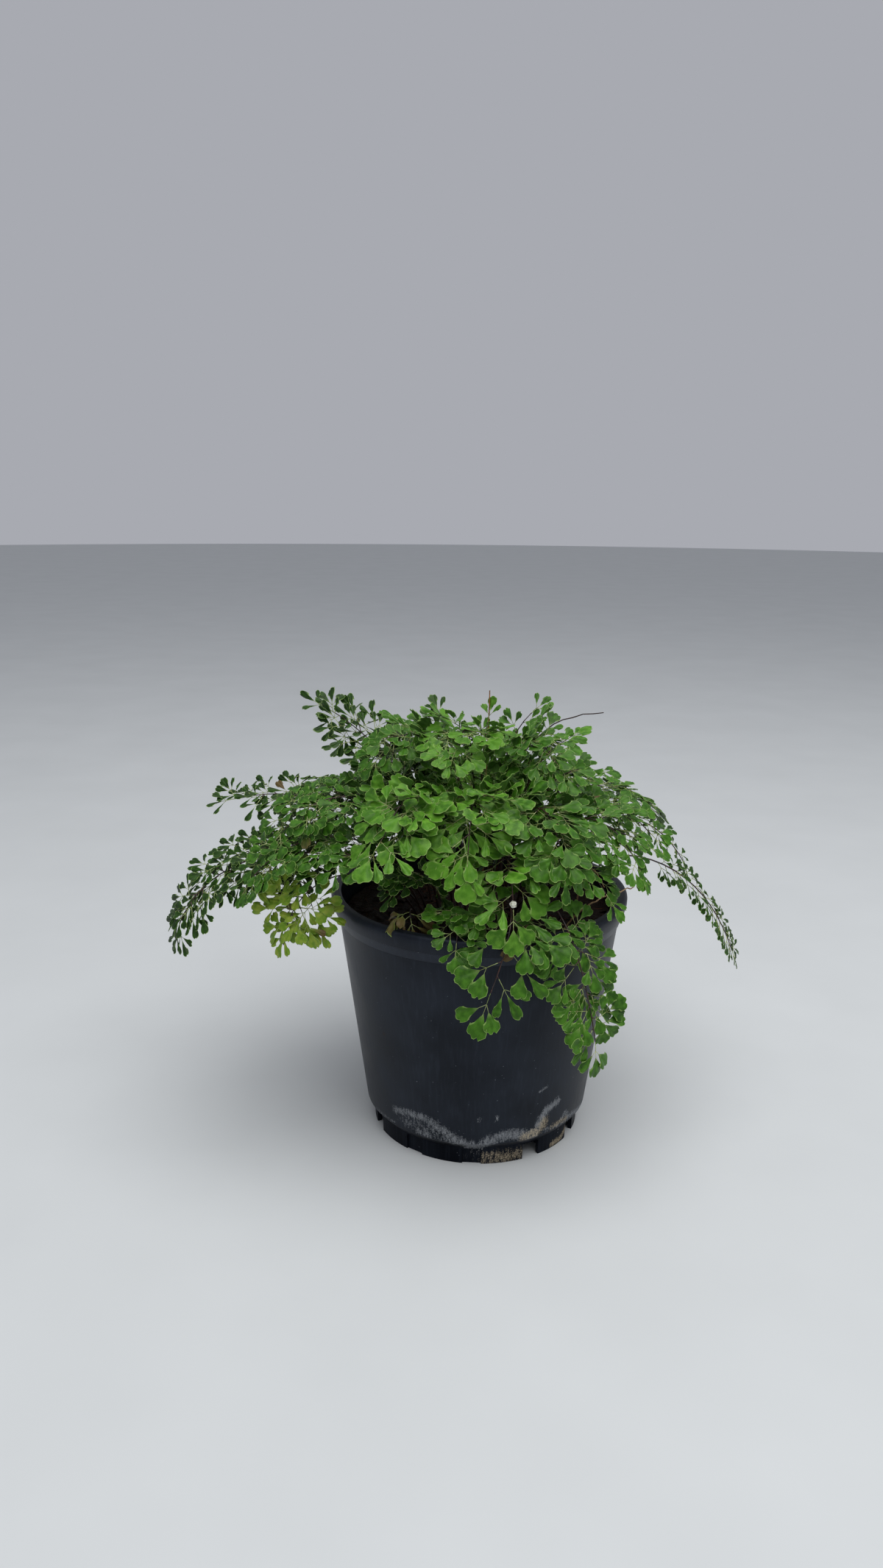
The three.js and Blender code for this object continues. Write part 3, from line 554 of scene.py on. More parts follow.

# ---- Fronds ------------------------------------------------------------------------------------
# Each frond is one leaf: a wiry, near-black stem from the mix that arches out over the rim, side
# branches that alternate along it, and pinnules of fan-shaped leaflets on hair-thin pale stalks.

# A row's places are in millimetres. root is where the stem leaves the mix, crown the point that
# pulls its arch up and out, and tip its far end. reach is the length of its longest side branch and
# leaf that of a leaflet. branches sets how many side branches there are, bare is the part of the
# stem without leaves, and roll turns the leafy part about the stem, in degrees.
# slot is the row's leaf tissue; fresh is partly painted light and deep partly painted shade.
FRONDS = [
    ("left_trailing", (-22, -8), (-130, -26, 162), (-142, -26, 92), 28, 7.5, 7, 0.4, -28, "deep"),
    ("left_reaching", (-24, 2), (-92, 4, 174), (-127, -2, 154), 23, 7, 4, 0.45, -25, "deep"),
    ("left_upright", (-16, 10), (-50, 14, 186), (-77, 10, 205), 34, 8, 5, 0.32, -40, "deep"),
    ("left_middle", (-18, -2), (-74, -22, 188), (-94, -32, 142), 34, 8, 4, 0.4, -15, "green"),
    ("left_yellowing", (-26, -14), (-82, -42, 150), (-88, -44, 104), 26, 8, 2, 0.71, -55, "yellowing"),
    ("left_lower", (-22, -12), (-84, -34, 170), (-108, -44, 124), 24, 7.5, 3, 0.5, -10, "green"),
    ("left_rim", (-24, -22), (-62, -42, 158), (-74, -48, 134), 22, 8, 2, 0.5, -25, "green"),
    ("front_left_low", (-14, -26), (-30, -42, 146), (-40, -46, 128), 19, 8, 3, 0.55, 0, "deep"),
    ("front_left", (-12, -14), (-34, -40, 194), (-46, -68, 148), 34, 10.5, 4, 0.4, 0, "fresh"),
    ("front_middle", (-2, -12), (-4, -40, 198), (-8, -72, 144), 34, 10.5, 4, 0.4, 0, "fresh"),
    ("front_bright", (4, -20), (12, -62, 168), (12, -74, 122), 26, 11, 3, 0.45, 0, "fresh"),
    ("withered", (-27, -38), (-34, -50, 130), (-30, -57, 118), 6, 7, 1, 0.8, 0, "withered"),
    ("front_small", (-6, -28), (-10, -62, 138), (-12, -72, 110), 18, 7, 2, 0.65, 0, "green"),
    ("front_right", (10, -14), (28, -40, 190), (34, -68, 142), 32, 10, 4, 0.4, 0, "green"),
    ("cascade_left", (2, -30), (24, -72, 148), (-1, -78, 88), 27, 11, 2, 0.5, 0, "green"),
    ("cascade_right", (12, -26), (38, -66, 152), (50, -74, 60), 24, 9, 4, 0.46, 0, "green"),
    ("front_right_rim", (20, -20), (46, -44, 156), (56, -52, 124), 22, 8, 2, 0.5, 0, "green"),
    ("right_middle", (16, -6), (54, -26, 178), (70, -42, 137), 32, 8, 3, 0.4, 10, "green"),
    ("right_round", (20, 0), (64, -8, 178), (84, -14, 138), 23, 8, 3, 0.4, 20, "green"),
    ("right_rim", (24, -8), (60, -24, 166), (80, -30, 140), 16, 8, 2, 0.5, 0, "green"),
    ("right_upper", (14, 8), (40, 10, 184), (64, 8, 168), 19, 7.5, 3, 0.45, 25, "green"),
    ("right_trailing", (24, 6), (108, 0, 156), (128, 0, 68), 10, 5.5, 11, 0.5, 25, "deep"),
    ("right_short_trailing", (22, 14), (86, 18, 170), (106, 16, 112), 12, 5.5, 5, 0.5, 30, "deep"),
    ("top_left", (-10, 0), (-26, -6, 214), (-50, -26, 181), 32, 8, 4, 0.4, -20, "green"),
    ("top_middle", (-2, -2), (-6, -10, 220), (-14, -42, 182), 32, 8.5, 4, 0.4, 0, "fresh"),
    ("top_right", (6, 0), (20, -6, 216), (36, -32, 174), 32, 8.5, 4, 0.4, 15, "green"),
    ("top_dark", (-6, 16), (-14, 26, 194), (-24, 34, 198), 24, 7.5, 2, 0.48, -20, "deep"),
    ("top_spire", (0, 8), (0, 12, 188), (6, 14, 206), 18, 7, 2, 0.5, 0, "fresh"),
    ("top_edge", (6, 14), (12, 20, 196), (36, 22, 204), 15, 6.5, 3, 0.45, 65, "green"),
    ("top_young", (12, 2), (26, 4, 188), (52, 12, 190), 14, 7.5, 3, 0.5, 0, "fresh"),
    ("back_far_left", (-22, 14), (-72, 40, 180), (-102, 62, 138), 32, 8, 3, 0.4, 0, "green"),
    ("back_left", (-14, 22), (-40, 62, 186), (-60, 92, 136), 34, 8, 3, 0.4, 0, "green"),
    ("back_middle", (-2, 24), (0, 62, 188), (-4, 104, 130), 34, 8, 3, 0.4, 0, "green"),
    ("back_right", (10, 22), (36, 60, 182), (54, 92, 136), 34, 8, 3, 0.4, 0, "green"),
    ("back_far_right", (20, 22), (66, 40, 178), (94, 56, 136), 32, 8, 3, 0.4, 0, "green"),
    ("back_inner_left", (-6, 20), (-22, 38, 200), (-42, 60, 170), 30, 8, 3, 0.42, 0, "green"),
    ("back_inner_right", (4, 17), (20, 38, 198), (38, 58, 168), 24, 8, 3, 0.42, 0, "green"),
    ("back_low_left", (-10, 30), (-26, 76, 146), (-34, 84, 96), 20, 7.5, 3, 0.5, 0, "deep"),
    ("back_low_right", (6, 30), (26, 74, 146), (34, 86, 100), 20, 7.5, 2, 0.55, 0, "deep"),
]
FROND_FIELDS = ("name", "root", "crown", "tip", "reach", "leaf", "branches", "bare", "roll", "slot")

ROOTED_DEPTH = 9 * MM
STEM_RADIUS = 0.55 * MM
BRANCH_RADIUS = 0.26 * MM
STALK_RADIUS = 0.13 * MM
ARCH_POINTS = 60
STEM_STEPS = 22
BRANCH_STEPS = 6

# There are 2.7 side branches for each one that a row counts. Along the stem their angle to it, in
# degrees, goes down by 16, and their length by nearly half; the last one goes straight on.
BRANCH_DENSITY = 2.7
BRANCH_ANGLE, BRANCH_ANGLE_LOSS = 62, 16
BRANCH_LENGTH_LOSS = 0.45
BRANCH_DROOP = 6
END_BRANCH_AT = 0.88
END_BRANCH_LENGTH = 0.6

# Pinnules do the same along a branch. Lengths and spacing are in leaflets. The leaflets beside a
# pinnule's last one stand in two pairs, each at its part of the stalk and in its range of angles.
PINNULE_ANGLE, PINNULE_ANGLE_LOSS = 66, 26
PINNULE_LENGTH, PINNULE_LENGTH_LOSS = 0.7, 0.5
PINNULE_SPACING = (0.38, 0.54)
OUTER_PAIR = (0.96, (34, 52))
INNER_PAIR = (0.55, (58, 76))

# Leaflets face the light, which comes from above the viewer, and turn outwards round the mound.
# Their branch, the light and chance share in that. Towards the far left the leaflets' tone is held
# down to the shade colour: painted shade, for the plant's own shade on its left side.
LIGHT_FROM = Vector((0, -0.35, 0.8))
MOUND_RADIUS = 70 * MM
OUTWARDS_PULL = 0.9
BRANCH_PULL, LIGHT_PULL, CHANCE_PULL = 0.4, 0.9, 0.24
FULL_PAINTED_SHADE_AT, NO_PAINTED_SHADE_AT = -90 * MM, -20 * MM
LIT_SHARE_IN_PAINTED_SHADE = 0.2
DRY_SHARES = {"yellowing": 0.1, "withered": 0.6}
USUAL_DRY_SHARE = 0.006

# A fan's sizes are in leaflets: its thickness, the fall of its outer edge towards the sides, its
# teeth and its ripples. A cut's width is a share of the fan's half angle.
FAN_SEGMENTS = 13
FAN_RINGS = (0.0, 0.5, 0.84, 1.0)
FAN_THICKNESS = 0.025
SIDE_FALL = 0.44
TOOTH = 0.012
RIPPLE = 0.025
CUT_WIDTH = 0.1
VEINS = 17
UNDERSIDE_SHIFT = 2
# Fans differ in their half angle in degrees, the places and depths of their cuts, their cup and
# how far they curl under. The narrow ones come first: deep green fronds with small leaves have only
# those. Withered leaves have curled up.
FANS = [
    (19, [(0.2, 0.08)], -0.05, 0.10),
    (24, [(-0.15, 0.11)], 0.06, 0.14),
    (28, [(-0.3, 0.07), (0.35, 0.1)], 0.12, 0.08),
    (33, [(-0.35, 0.08), (0.2, 0.14)], -0.08, 0.12),
    (37, [(-0.42, 0.09), (0.05, 0.15), (0.46, 0.08)], 0.16, 0.10),
    (42, [(-0.25, 0.12), (0.3, 0.1)], 0.10, 0.18),
]
NARROW_FANS = 3
WITHERED_FANS = [
    (24, [(0.1, 0.2)], -0.5, 0.75),
    (30, [(-0.3, 0.22), (0.4, 0.15)], 0.55, 0.6),
]


def fan_leaflet(half_angle, cuts, cup, curl, rng):
    """One leaflet of length 1, its foot at the origin: straight sides, and a rounded outer edge
    with shallow cuts between its lobes and fine teeth on them."""
    bm = bmesh.new()
    spread = math.radians(half_angle)
    spoke = [bm.verts.new((radius, 0, 0)) for radius in FAN_RINGS]
    for pair in zip(spoke, spoke[1:]):
        bm.edges.new(pair)
    bmesh.ops.rotate(bm, verts=bm.verts, matrix=Matrix.Rotation(-spread, 3, "Z"))
    bmesh.ops.spin(bm, geom=list(bm.verts) + list(bm.edges), cent=(0, 0, 0), axis=(0, 0, 1),
                   angle=2 * spread, steps=FAN_SEGMENTS)
    bmesh.ops.remove_doubles(bm, verts=bm.verts, dist=0.001)
    along_and_across = {}
    for vert in bm.verts:
        radius = round(vert.co.length, 4)
        turn = math.atan2(vert.co.y, vert.co.x) / spread if radius else 0
        along_and_across[vert] = (radius, turn)
        reach = radius * (1 - SIDE_FALL * abs(turn) ** 3 * radius ** 2)
        if radius == FAN_RINGS[-1]:
            reach -= sum(depth * math.exp(-((turn - at) / CUT_WIDTH) ** 2) for at, depth in cuts)
            reach += rng.uniform(-TOOTH, TOOTH)
        # The fan is drawn in towards its foot.
        angle = turn * spread * (0.55 + 0.45 * radius)
        sag = cup * (turn * radius) ** 2 - curl * radius ** 2 + RIPPLE * math.sin(7 * turn) * radius
        vert.co = (reach * math.cos(angle), reach * math.sin(angle), sag)
    blade = bm.loops.layers.uv.new("blade")
    for face in bm.faces:
        for loop in face.loops:
            radius, turn = along_and_across[loop.vert]
            loop[blade].uv = (0.5 + 0.5 * turn, radius)
    bm.normal_update()
    if sum(face.normal.z for face in bm.faces) < 0:
        bmesh.ops.reverse_faces(bm, faces=bm.faces)
    bmesh.ops.solidify(bm, geom=list(bm.faces), thickness=FAN_THICKNESS)
    bmesh.ops.recalc_face_normals(bm, faces=bm.faces)
    for face in bm.faces:
        face.smooth = True
        if face.normal.z < -0.5:
            for loop in face.loops:
                loop[blade].uv.x += UNDERSIDE_SHIFT
    for edge in bm.edges:
        edge.smooth = edge.calc_face_angle(0) < math.radians(50)
    bm.verts.layers.float.new("tone_and_painted_shade")
    bm.verts.layers.float.new("dryness")
    return mesh_from("fan_leaflet", bm)


def stem_arch(frond):
    """Points along the frond's stem, from down in the mix to its tip, closely and evenly spaced."""
    x, y = frond["root"]
    crown = Vector(frond["crown"]) * MM
    foot = Vector((x * MM, y * MM, MIX_LEVEL - ROOTED_DEPTH))
    rise = foot.copy()
    rise.xy += 0.12 * (crown.xy - foot.xy)
    rise.z = MIX_LEVEL + 0.72 * (crown.z - MIX_LEVEL)
    return geometry.interpolate_bezier(foot, rise, crown, Vector(frond["tip"]) * MM, ARCH_POINTS)


def place_on(arch, share):
    """The point and the direction at a share of the arch's length."""
    lengths = [0]
    for before, after in zip(arch, arch[1:]):
        lengths.append(lengths[-1] + (after - before).length)
    wanted = share * lengths[-1]
    for number in range(len(arch) - 1):
        if lengths[number + 1] >= wanted or number == len(arch) - 2:
            stretch = lengths[number + 1] - lengths[number]
            part = (wanted - lengths[number]) / stretch
            before, after = arch[number], arch[number + 1]
            return before.lerp(after, part), (after - before).normalized()


def leafy_frame(frond, forward):
    """The frond's sideways and upper directions where its stem runs forward."""
    root, tip = frond["root"], frond["tip"]
    level = Vector((-(tip[1] - root[1]), tip[0] - root[0], 0)).normalized()
    sideways = (level - forward * level.dot(forward)).normalized()
    sideways.rotate(Matrix.Rotation(math.radians(frond["roll"]), 3, forward))
    return sideways, forward.cross(sideways)


class FrondMesh:
    """Collects a frond's leaflets and its three thicknesses of stem."""

    def __init__(self, fans, dry_share, rng):
        self.bm = bmesh.new()
        self.fans, self.dry_share, self.rng = fans, dry_share, rng
        self.stems, self.branches, self.stalks = [], [], []

    def leaflet(self, foot, along, up, size):
        """Sets one leaflet at the end of its own stalk, with its upper side to the light."""
        rng = self.rng
        end = foot + along * (rng.uniform(0.2, 0.36) * size)
        under_blade = end + along * 0.15 * size
        self.stalks.append([(foot, STALK_RADIUS), (under_blade, STALK_RADIUS * 0.7)])
        outwards = Vector((end.x, end.y, 0)) / MOUND_RADIUS
        light = (LIGHT_FROM + OUTWARDS_PULL * outwards).normalized()
        astray = Vector((rng.gauss(0, 1), rng.gauss(0, 1), rng.gauss(0, 1)))
        up = (up * BRANCH_PULL + light * LIGHT_PULL + astray * CHANCE_PULL).normalized()
        across = up.cross(along).normalized()
        up = along.cross(across)
        place = Matrix((along, across, up)).transposed().to_4x4() @ Matrix.Scale(size, 4)
        leaflet = rng.choice(self.fans).copy()
        leaflet.transform(Matrix.Translation(end) @ place)
        # Painted shade: towards the plant's left each leaflet's random tone is scaled down towards the
        # shade colour.
        lit = LIT_SHARE_IN_PAINTED_SHADE + (1 - LIT_SHARE_IN_PAINTED_SHADE) * smoothly(FULL_PAINTED_SHADE_AT, NO_PAINTED_SHADE_AT, end.x)
        tone_and_painted_shade = rng.random() * lit
        dryness = rng.uniform(0.3, 1) if rng.random() < self.dry_share else 0
        for name, value in (("tone_and_painted_shade", tone_and_painted_shade), ("dryness", dryness)):
            leaflet.attributes[name].data.foreach_set("value", [value] * len(leaflet.vertices))
        self.bm.from_mesh(leaflet)
        bpy.data.meshes.remove(leaflet)

    def pinnule(self, foot, along, up, length, leaf, count):
        """A short stalk with a leaflet at its end and up to four that splay beside it."""
        rng = self.rng
        across = up.cross(along).normalized()
        end = foot + along * length - up * 0.12 * length
        middle = foot + along * 0.55 * length - up * 0.03 * length
        self.stalks.append([(foot, STALK_RADIUS * 1.3), (middle, STALK_RADIUS * 1.15),
                            (end, STALK_RADIUS)])
        self.leaflet(end, along, up, leaf)
        side = rng.choice((-1, 1))
        for number in range(count - 1):
            part, angles = OUTER_PAIR if number < 2 else INNER_PAIR
            swing = math.radians(rng.uniform(*angles)) * side
            direction = along * math.cos(swing) + across * math.sin(swing)
            self.leaflet(foot.lerp(end, part), direction, up, leaf * rng.uniform(0.75, 0.98))
            side = -side

    def branch(self, foot, along, across, up, reach, leaf):
        """A side branch that droops as it goes, with its pinnules set alternately."""
        rng = self.rng

        def point(distance):
            return foot + along * distance - up * BRANCH_DROOP * distance ** 2

        def heading(distance):
            return (along - up * 2 * BRANCH_DROOP * distance).normalized()

        # The first half is as wiry as the stem and the rest is still green. The last pinnule takes
        # over a little more than a leaflet before the branch's full reach.
        stalk_end = max(reach - 1.25 * leaf, 0.2 * reach)
        strand = [(point(stalk_end * i / BRANCH_STEPS), BRANCH_RADIUS * (1 - 0.45 * i / BRANCH_STEPS))
                  for i in range(BRANCH_STEPS + 1)]
        half = BRANCH_STEPS // 2
        self.branches.append(strand[:half + 1])
        self.stalks.append(strand[half:])
        distance, side = 0.3 * leaf, rng.choice((-1, 1))
        while distance < stalk_end - 0.15 * leaf:
            share = distance / reach
            swing = math.radians(PINNULE_ANGLE - PINNULE_ANGLE_LOSS * share) * side
            direction = heading(distance) * math.cos(swing) + across * math.sin(swing)
            length = leaf * (PINNULE_LENGTH - PINNULE_LENGTH_LOSS * share) * rng.uniform(0.75, 1.2)
            # The lowest pinnules have the most leaflets.
            count = 2
            if share < 0.6:
                count = rng.choice((4, 5) if share < 0.35 else (3, 4))
            self.pinnule(point(distance), direction.normalized(), up, length, leaf, count)
            distance += leaf * rng.uniform(*PINNULE_SPACING)
            side = -side
        self.pinnule(point(stalk_end), heading(stalk_end), up, 0.3 * leaf, 1.05 * leaf, 3)

    def finish(self):
        """Joins the stems to the leaflets; material 0 is the leaf, 1 the wiry stem, 2 the stalk."""
        for strands, number, sides in ((self.stems, 1, 8), (self.branches, 1, 6), (self.stalks, 2, 4)):
            mesh = strand_mesh(strands, sides)
            mesh.polygons.foreach_set("material_index", [number] * len(mesh.polygons))
            self.bm.from_mesh(mesh)
            bpy.data.meshes.remove(mesh)
        return self.bm


def grown_frond(frond, fans):
    """The stem, then its side branches by the frond's row, then the branch that ends it."""
    rng = random.Random(frond["name"])
    small = frond["leaf"] <= 8 and frond["slot"] == "deep"
    dry_share = DRY_SHARES.get(frond["slot"], USUAL_DRY_SHARE)
    made = FrondMesh(fans[:NARROW_FANS] if small else fans, dry_share, rng)
    arch = stem_arch(frond)
    shares = [i / STEM_STEPS for i in range(STEM_STEPS + 1)]
    made.stems.append([(place_on(arch, share * END_BRANCH_AT)[0], STEM_RADIUS * (1 - 0.6 * share))
                       for share in shares])
    reach, leaf = frond["reach"] * MM, frond["leaf"] * MM
    count = math.ceil(BRANCH_DENSITY * frond["branches"])
    side = -1
    for number in range(count + 1):
        step = number / count
        if number < count:
            share = frond["bare"] + (END_BRANCH_AT - frond["bare"]) * step
            swing = math.radians(BRANCH_ANGLE - BRANCH_ANGLE_LOSS * step + rng.gauss(0, 5)) * side
        else:
            share, swing = END_BRANCH_AT, 0
        foot, forward = place_on(arch, share)
        sideways, upper = leafy_frame(frond, forward)
        along = (forward * math.cos(swing) + sideways * math.sin(swing)).normalized()
        along.rotate(Matrix.Rotation(rng.gauss(0, 0.12), 3, upper.cross(along)))
        across = upper.cross(along).normalized()
        across.rotate(Matrix.Rotation(rng.gauss(0, 0.22), 3, along))
        length = reach * END_BRANCH_LENGTH
        if number < count:
            length = reach * ((1 - BRANCH_LENGTH_LOSS * step) * rng.uniform(0.85, 1.05))
        made.branch(foot, along, across, along.cross(across), length, leaf)
        side = -side
    return made.finish()


def leaf_tissue(name, base, light, shade):
    """Living leaf: soft satin tissue with fine fanning veins and a pale, thin margin."""
    material, shader, add = new_finish(name, {
        "Roughness": 0.42, "IOR": 1.42, "Specular IOR Level": 0.28,
        "Specular Tint": (1, 1, 0.85, 1), "Subsurface Weight": 0.08,
        "Subsurface Radius": (0.5, 1.0, 0.15), "Subsurface Scale": 0.4 * MM})
    blade = add("UVMap", uv_map="blade")
    across_along = add("SeparateXYZ", {"Vector": blade})
    across, along = across_along.outputs["X"], across_along.outputs["Y"]
    # Each leaflet's tone, random and held down by painted shade at the plant's left, mixes the shade
    # colour with the base.
    tone_and_painted_shade = add("Attribute", attribute_name="tone_and_painted_shade").outputs["Fac"]
    toned_with_painted_shade = add("Mix", {0: tone_and_painted_shade, 6: linear(shade), 7: linear(base)})
    place = add("TexCoord").outputs["Object"]
    # Thicker and thinner patches of the blade, 3 mm across.
    patches = add("TexNoise", {"Vector": place, "Scale": 330, "Detail": 3})
    lighter = add("MapRange", {"Value": patches, 1: 0.4, 2: 0.7, 3: 0, 4: 0.6})
    mottled = add("Mix", {0: lighter, 6: toned_with_painted_shade, 7: linear(light)})
    # Veins fork from the foot; drawn 0.5 mm apart at the edge, which is twice the real spacing.
    ray = add("Math", {0: across, 1: VEINS * math.tau}, operation="MULTIPLY")
    wave = add("Math", {0: ray}, operation="SINE")
    vein = add("MapRange", {"Value": wave, 1: 0.3, 2: 1, 3: 0, 4: 0.16})
    veined = add("Mix", {0: vein, 6: mottled, 7: linear(light)})
    # The margin, 0.3 mm wide, is thin and pale all round, partly from its own pale tissue and partly
    # as a painted highlight where light catches the thin rim. The foot, where the veins meet, is pale
    # too.
    one_side = add("Math", {0: across, 1: UNDERSIDE_SHIFT}, operation="MODULO")
    from_middle = add("Math", {0: one_side, 1: 0.5}, operation="SUBTRACT")
    sideways = add("Math", {0: from_middle}, operation="ABSOLUTE")
    inset = add("MapRange", {"Value": sideways, 1: 0.5, 2: 0, 3: 0, 4: 0.45})
    from_side = add("Math", {0: inset, 1: along}, operation="MULTIPLY")
    from_end = add("Math", {0: 1, 1: along}, operation="SUBTRACT")
    from_edge = add("Math", {0: from_side, 1: from_end}, operation="MINIMUM")
    margin = add("MapRange", {"Value": from_edge, 1: 0.042, 2: 0.014, 3: 0, 4: 0.65})
    foot = add("MapRange", {"Value": along, 1: 0.3, 2: 0, 3: 0, 4: 0.55})
    edge = add("Math", {0: margin, 1: foot}, operation="MAXIMUM")
    pale_margin_and_rim_highlight = add("Mix", {0: edge, 6: veined, 7: linear(0x8CA85C)})
    # The underside, whose map is shifted sideways, is paler and greyer.
    under = add("Math", {0: across, 1: 1.5}, operation="GREATER_THAN")
    under_share = add("Math", {0: under, 1: 0.4}, operation="MULTIPLY")
    sided = add("Mix", {0: under_share, 6: pale_margin_and_rim_highlight, 7: linear(0x65854A)})
    # Drying goes in from the edge in brown patches.
    dryness = add("Attribute", attribute_name="dryness").outputs["Fac"]
    inwards = add("Math", {0: along, 1: patches}, operation="MULTIPLY")
    drying = add("Math", {0: dryness, 1: 1.4, 2: inwards}, operation="MULTIPLY_ADD")
    brown_share = add("MapRange", {"Value": drying, 1: 0.85, 2: 1.35})
    browned = add("Mix", {0: brown_share, 6: sided, 7: linear(0x5A4A2C)})
    bump = add("Bump", {"Height": wave, "Strength": 0.1, "Distance": 0.05 * MM})
    set_inputs(shader, {"Base Color": browned, "Normal": bump})
    return material


def wiry_stem():
    """A fern's stipe: hard, polished and near black, with a purple-brown cast."""
    material, shader, add = new_finish("polished_black_stipe", {
        "Roughness": 0.35, "Specular IOR Level": 0.5})
    # Nodes and old scales every few millimetres.
    two_toned(add, shader, 260, 2, (0.35, 0.7), (0x1A0F0F, 0x43261D))
    return material


def pale_stalk():
    """Young green stalk, translucent, with paler yellowish patches along it."""
    material, shader, add = new_finish("pale_green_stalk", {
        "Roughness": 0.5, "Subsurface Weight": 0.1, "Subsurface Scale": 0.4 * MM})
    # The green comes and goes over a few millimetres.
    two_toned(add, shader, 200, 2, (0.35, 0.65), (0x6C7A3C, 0xA9B57A))
    return material


# fresh, green and deep are one leaf tissue in a lit, a middle and a shaded copy. Besides the fronds'
# own greens, fresh is painted light for fronds at the front and top, and deep is painted shade for
# those at the left, low in the pot, behind and trailing.
LEAVES = {
    "fresh": leaf_tissue("leaf_tissue_fresh_painted_light", 0x477A18, 0x6EA034, 0x2A560E),
    "green": leaf_tissue("leaf_tissue_green", 0x345F12, 0x528624, 0x1E4209),
    "deep": leaf_tissue("leaf_tissue_deep_painted_shade", 0x20400C, 0x335C14, 0x122A07),
    "yellowing": leaf_tissue("leaf_tissue_yellowing", 0x7A982C, 0xA6B048, 0x5E8420),
    "withered": leaf_tissue("leaf_tissue_withered", 0x5C5C28, 0x747038, 0x484220),
}
stipe, stalk_green = wiry_stem(), pale_stalk()
fan_rng = random.Random(21)
living = [fan_leaflet(*fan, fan_rng) for fan in FANS]
withered = [fan_leaflet(*fan, fan_rng) for fan in WITHERED_FANS]
fronds = {row[0]: dict(zip(FROND_FIELDS, row)) for row in FRONDS}
for name, frond in fronds.items():
    slot = frond["slot"]
    leaflets = grown_frond(frond, withered if slot == "withered" else living)
    piece = piece_from("fern_" + name, leaflets, LEAVES[slot], stipe, stalk_green)
    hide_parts("frond_" + name)

# ---- Rolled young leaf -------------------------------------------------------------------------
# A leaf still rolled up in pale down, 3 mm across, where it grows from the brightest frond's stem.

ROLLED_LEAF_AT = 0.88
ROLLED_LEAF_RADIUS = 1.5 * MM


def rolled_leaf():
    """A small ball with the coils of a rolled blade round it, set on the frond's stem."""
    bm = bmesh.new()
    bmesh.ops.create_icosphere(bm, subdivisions=3, radius=ROLLED_LEAF_RADIUS)
    for vert in bm.verts:
        coil = math.atan2(vert.co.z, vert.co.x) + vert.co.length / ROLLED_LEAF_RADIUS
        vert.co *= 1 + 0.07 * math.sin(5 * coil) + 0.12 * noise.noise(vert.co / MM)
    place, _ = place_on(stem_arch(fronds["front_bright"]), ROLLED_LEAF_AT)
    bmesh.ops.translate(bm, verts=bm.verts, vec=place + Vector((0, 0, 0.5 * ROLLED_LEAF_RADIUS)))
    return bm


def pale_down():
    """The down on a rolled fern leaf: matt, cream and felted."""
    material, shader, add = new_finish("felted_cream_down", {
        "Roughness": 0.9, "Sheen Weight": 0.4})
    # Tufts of half a millimetre.
    tufts = two_toned(add, shader, 1600, 3, (0.35, 0.6), (0x9C9C7C, 0xE4E6D8))
    bump = add("Bump", {"Height": tufts, "Strength": 0.8, "Distance": 0.2 * MM})
    set_inputs(shader, {"Normal": bump})
    return material


ball = piece_from("rolled_young_leaf", rolled_leaf(), pale_down())
ball.data.shade_smooth()

# ---- Dry stems and stalks ----------------------------------------------------------------------
# What is left of old fronds: a snapped brown stub and a bare zigzag twig at the top of the clump,
# and three straw stalks that lie over the mix and the rim.

DRY_STEPS = 26
OLD_STEM_RADIUS = 0.5 * MM
DRY_STALK_RADIUS = 0.55 * MM
KINK = 0.5 * MM

snapped = dry_fibre("snapped_brown_stipe", 0x9A6A34, 0x4A2E18)
dead = dry_fibre("dead_dark_stipe", 0x3A2620, 0x1C1212)
straw = dry_fibre("straw_stalk", 0xB89A74, 0x7A5A3A)

# Each has its root, crown and tip, as the fronds do, and its slot and its finish.
DRY_STEMS = [
    ("old_stem_upright", (2, 12), (4, 14, 196), (4, 15, 209), "old_stem", snapped),
    ("old_stem_branching", (10, 10), (16, 14, 196), (58, 16, 199), "old_stem", dead),
    ("stalk_over_rim", (34, -34), (52, -26, 121), (72, -10, 121), "dry_stalk", straw),
    ("stalk_curved", (48, 12), (54, 14, 130), (61, 8, 114), "dry_stalk", straw),
    ("stalk_short", (18, -33), (24, -36, 119), (38, -38, 112), "dry_stalk", straw),
]


def dry_stem(arch, radius, rng):
    """A stem that thins towards its end and kinks at its old joints."""
    strand = []
    for i in range(DRY_STEPS + 1):
        share = i / DRY_STEPS
        point, _ = place_on(arch, share)
        kink = KINK * smoothly(0.3, 0.7, share)
        point = point + Vector((0, rng.uniform(-1, 1) * kink, rng.uniform(-1, 1) * kink))
        strand.append((point, radius * (1 - 0.5 * share) * rng.uniform(0.9, 1.1)))
    bm = bmesh.new()
    bm.from_mesh(strand_mesh([strand], 8))
    return bm


for name, root, crown, tip, slot, finish in DRY_STEMS:
    arch = stem_arch({"root": root, "crown": crown, "tip": tip})
    radius = DRY_STALK_RADIUS if slot == "dry_stalk" else OLD_STEM_RADIUS
    piece = piece_from(name + "_dried", dry_stem(arch, radius, random.Random(name)), finish)
    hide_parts(name)

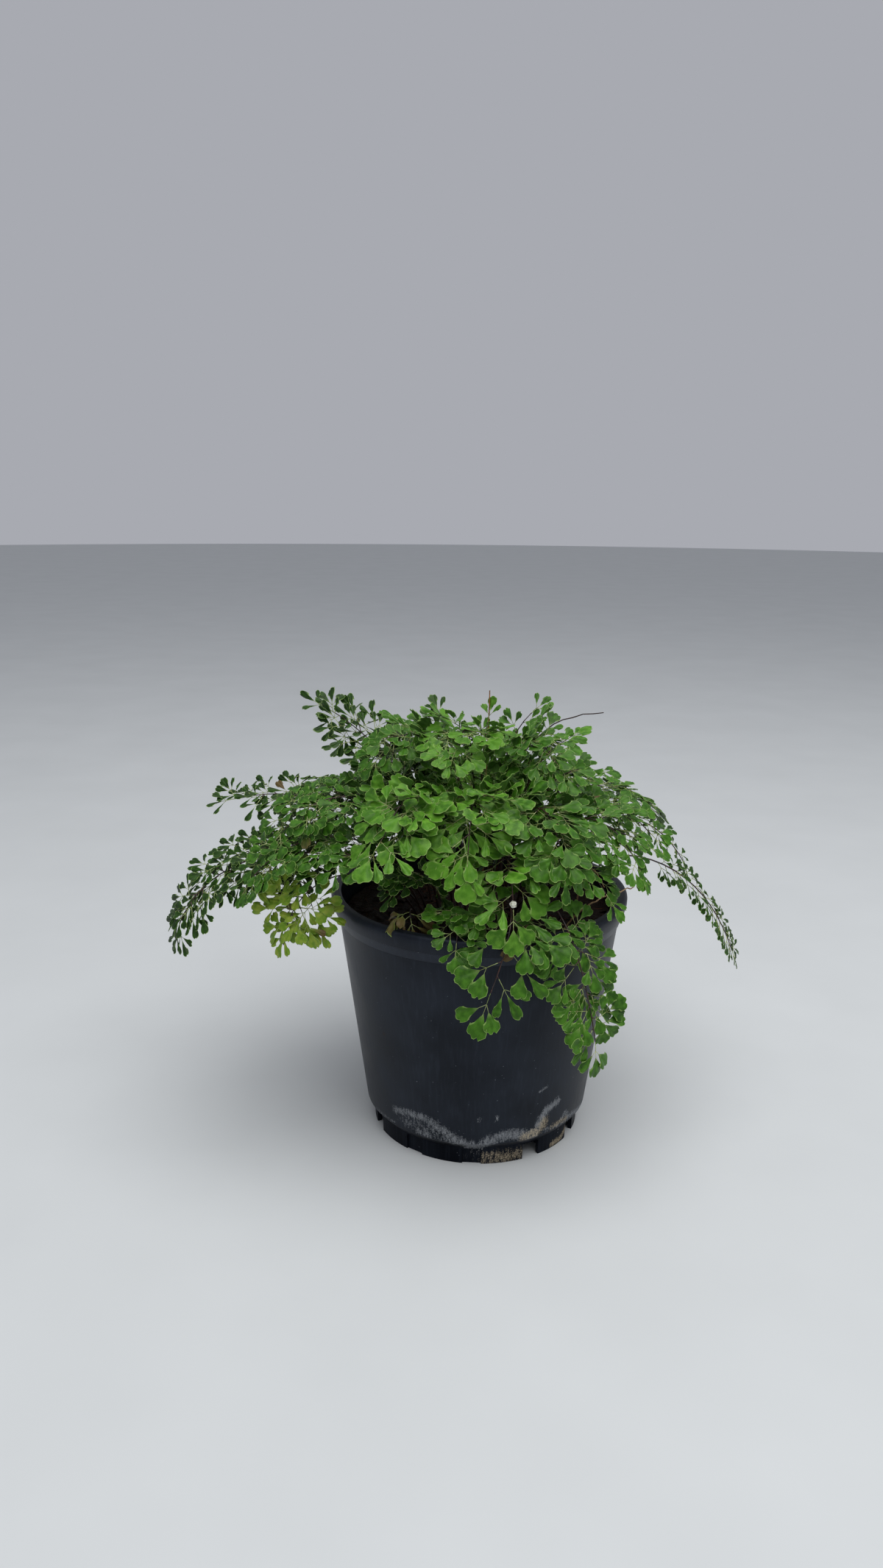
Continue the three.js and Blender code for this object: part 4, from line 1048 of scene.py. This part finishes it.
# ---- Table, light and camera -------------------------------------------------------------------
# A plain pale table under soft daylight from above and a little from the right, seen from the
# photograph's place: half a metre off, a little above the fern.

TABLE_RADIUS = 6
CAMERA_PLACE = (-18.3 * MM, -514.2 * MM, 300.4 * MM)
CAMERA_DOWN = math.radians(14.5)
CAMERA_ROLL = math.radians(0.49)
CAMERA_LENS = 26.18


def matt_paint():
    """Matt white paint: pale, a little cool, with the faintest unevenness."""
    material, shader, add = new_finish("matt_white_paint", {
        "Roughness": 0.7, "Specular IOR Level": 0.3})
    place = add("TexCoord").outputs["Object"]
    # Brushed-on paint varies over several centimetres.
    drift = add("TexNoise", {"Vector": place, "Scale": 12, "Detail": 3})
    tone = add("Mix", {0: drift, 6: linear(0xC4C7C7), 7: linear(0xCDD0D0)})
    set_inputs(shader, {"Base Color": tone})
    return material


def soft_light(name, place, aim, size, watts, hex_colour):
    """A round light of this width in metres that looks at its aim."""
    data = bpy.data.lights.new(name, "AREA")
    data.shape = "DISK"
    data.size = size
    data.energy = watts
    data.color = linear(hex_colour)[:3]
    light = new_object(name, data)
    light.location = place
    light.rotation_euler = (Vector(aim) - Vector(place)).to_track_quat("-Z", "Y").to_euler()


top = bmesh.new()
bmesh.ops.create_circle(top, cap_ends=True, radius=TABLE_RADIUS, segments=96)
table = new_object("table", mesh_from("table", top))
table.data.materials.append(matt_paint())

sky = bpy.data.worlds.new("overcast_sky")
sky.use_nodes = True
sky.node_tree.nodes["Background"].inputs["Color"].default_value = linear(0xA8AAB1)
bpy.context.scene.world = sky
soft_light("daylight_above", (0.2, -0.35, 1.4), (0, 0, 0.12), 1.7, 21, 0xFFFFFF)

camera_data = bpy.data.cameras.new("camera")
camera_data.lens = CAMERA_LENS
camera_data.clip_start = 0.01
camera = new_object("camera", camera_data)
camera.matrix_world = (Matrix.Translation(CAMERA_PLACE)
                       @ Matrix.Rotation(math.pi / 2 - CAMERA_DOWN, 4, "X")
                       @ Matrix.Rotation(CAMERA_ROLL, 4, "Z"))
bpy.context.scene.camera = camera
bpy.context.scene.view_settings.view_transform = "Standard"
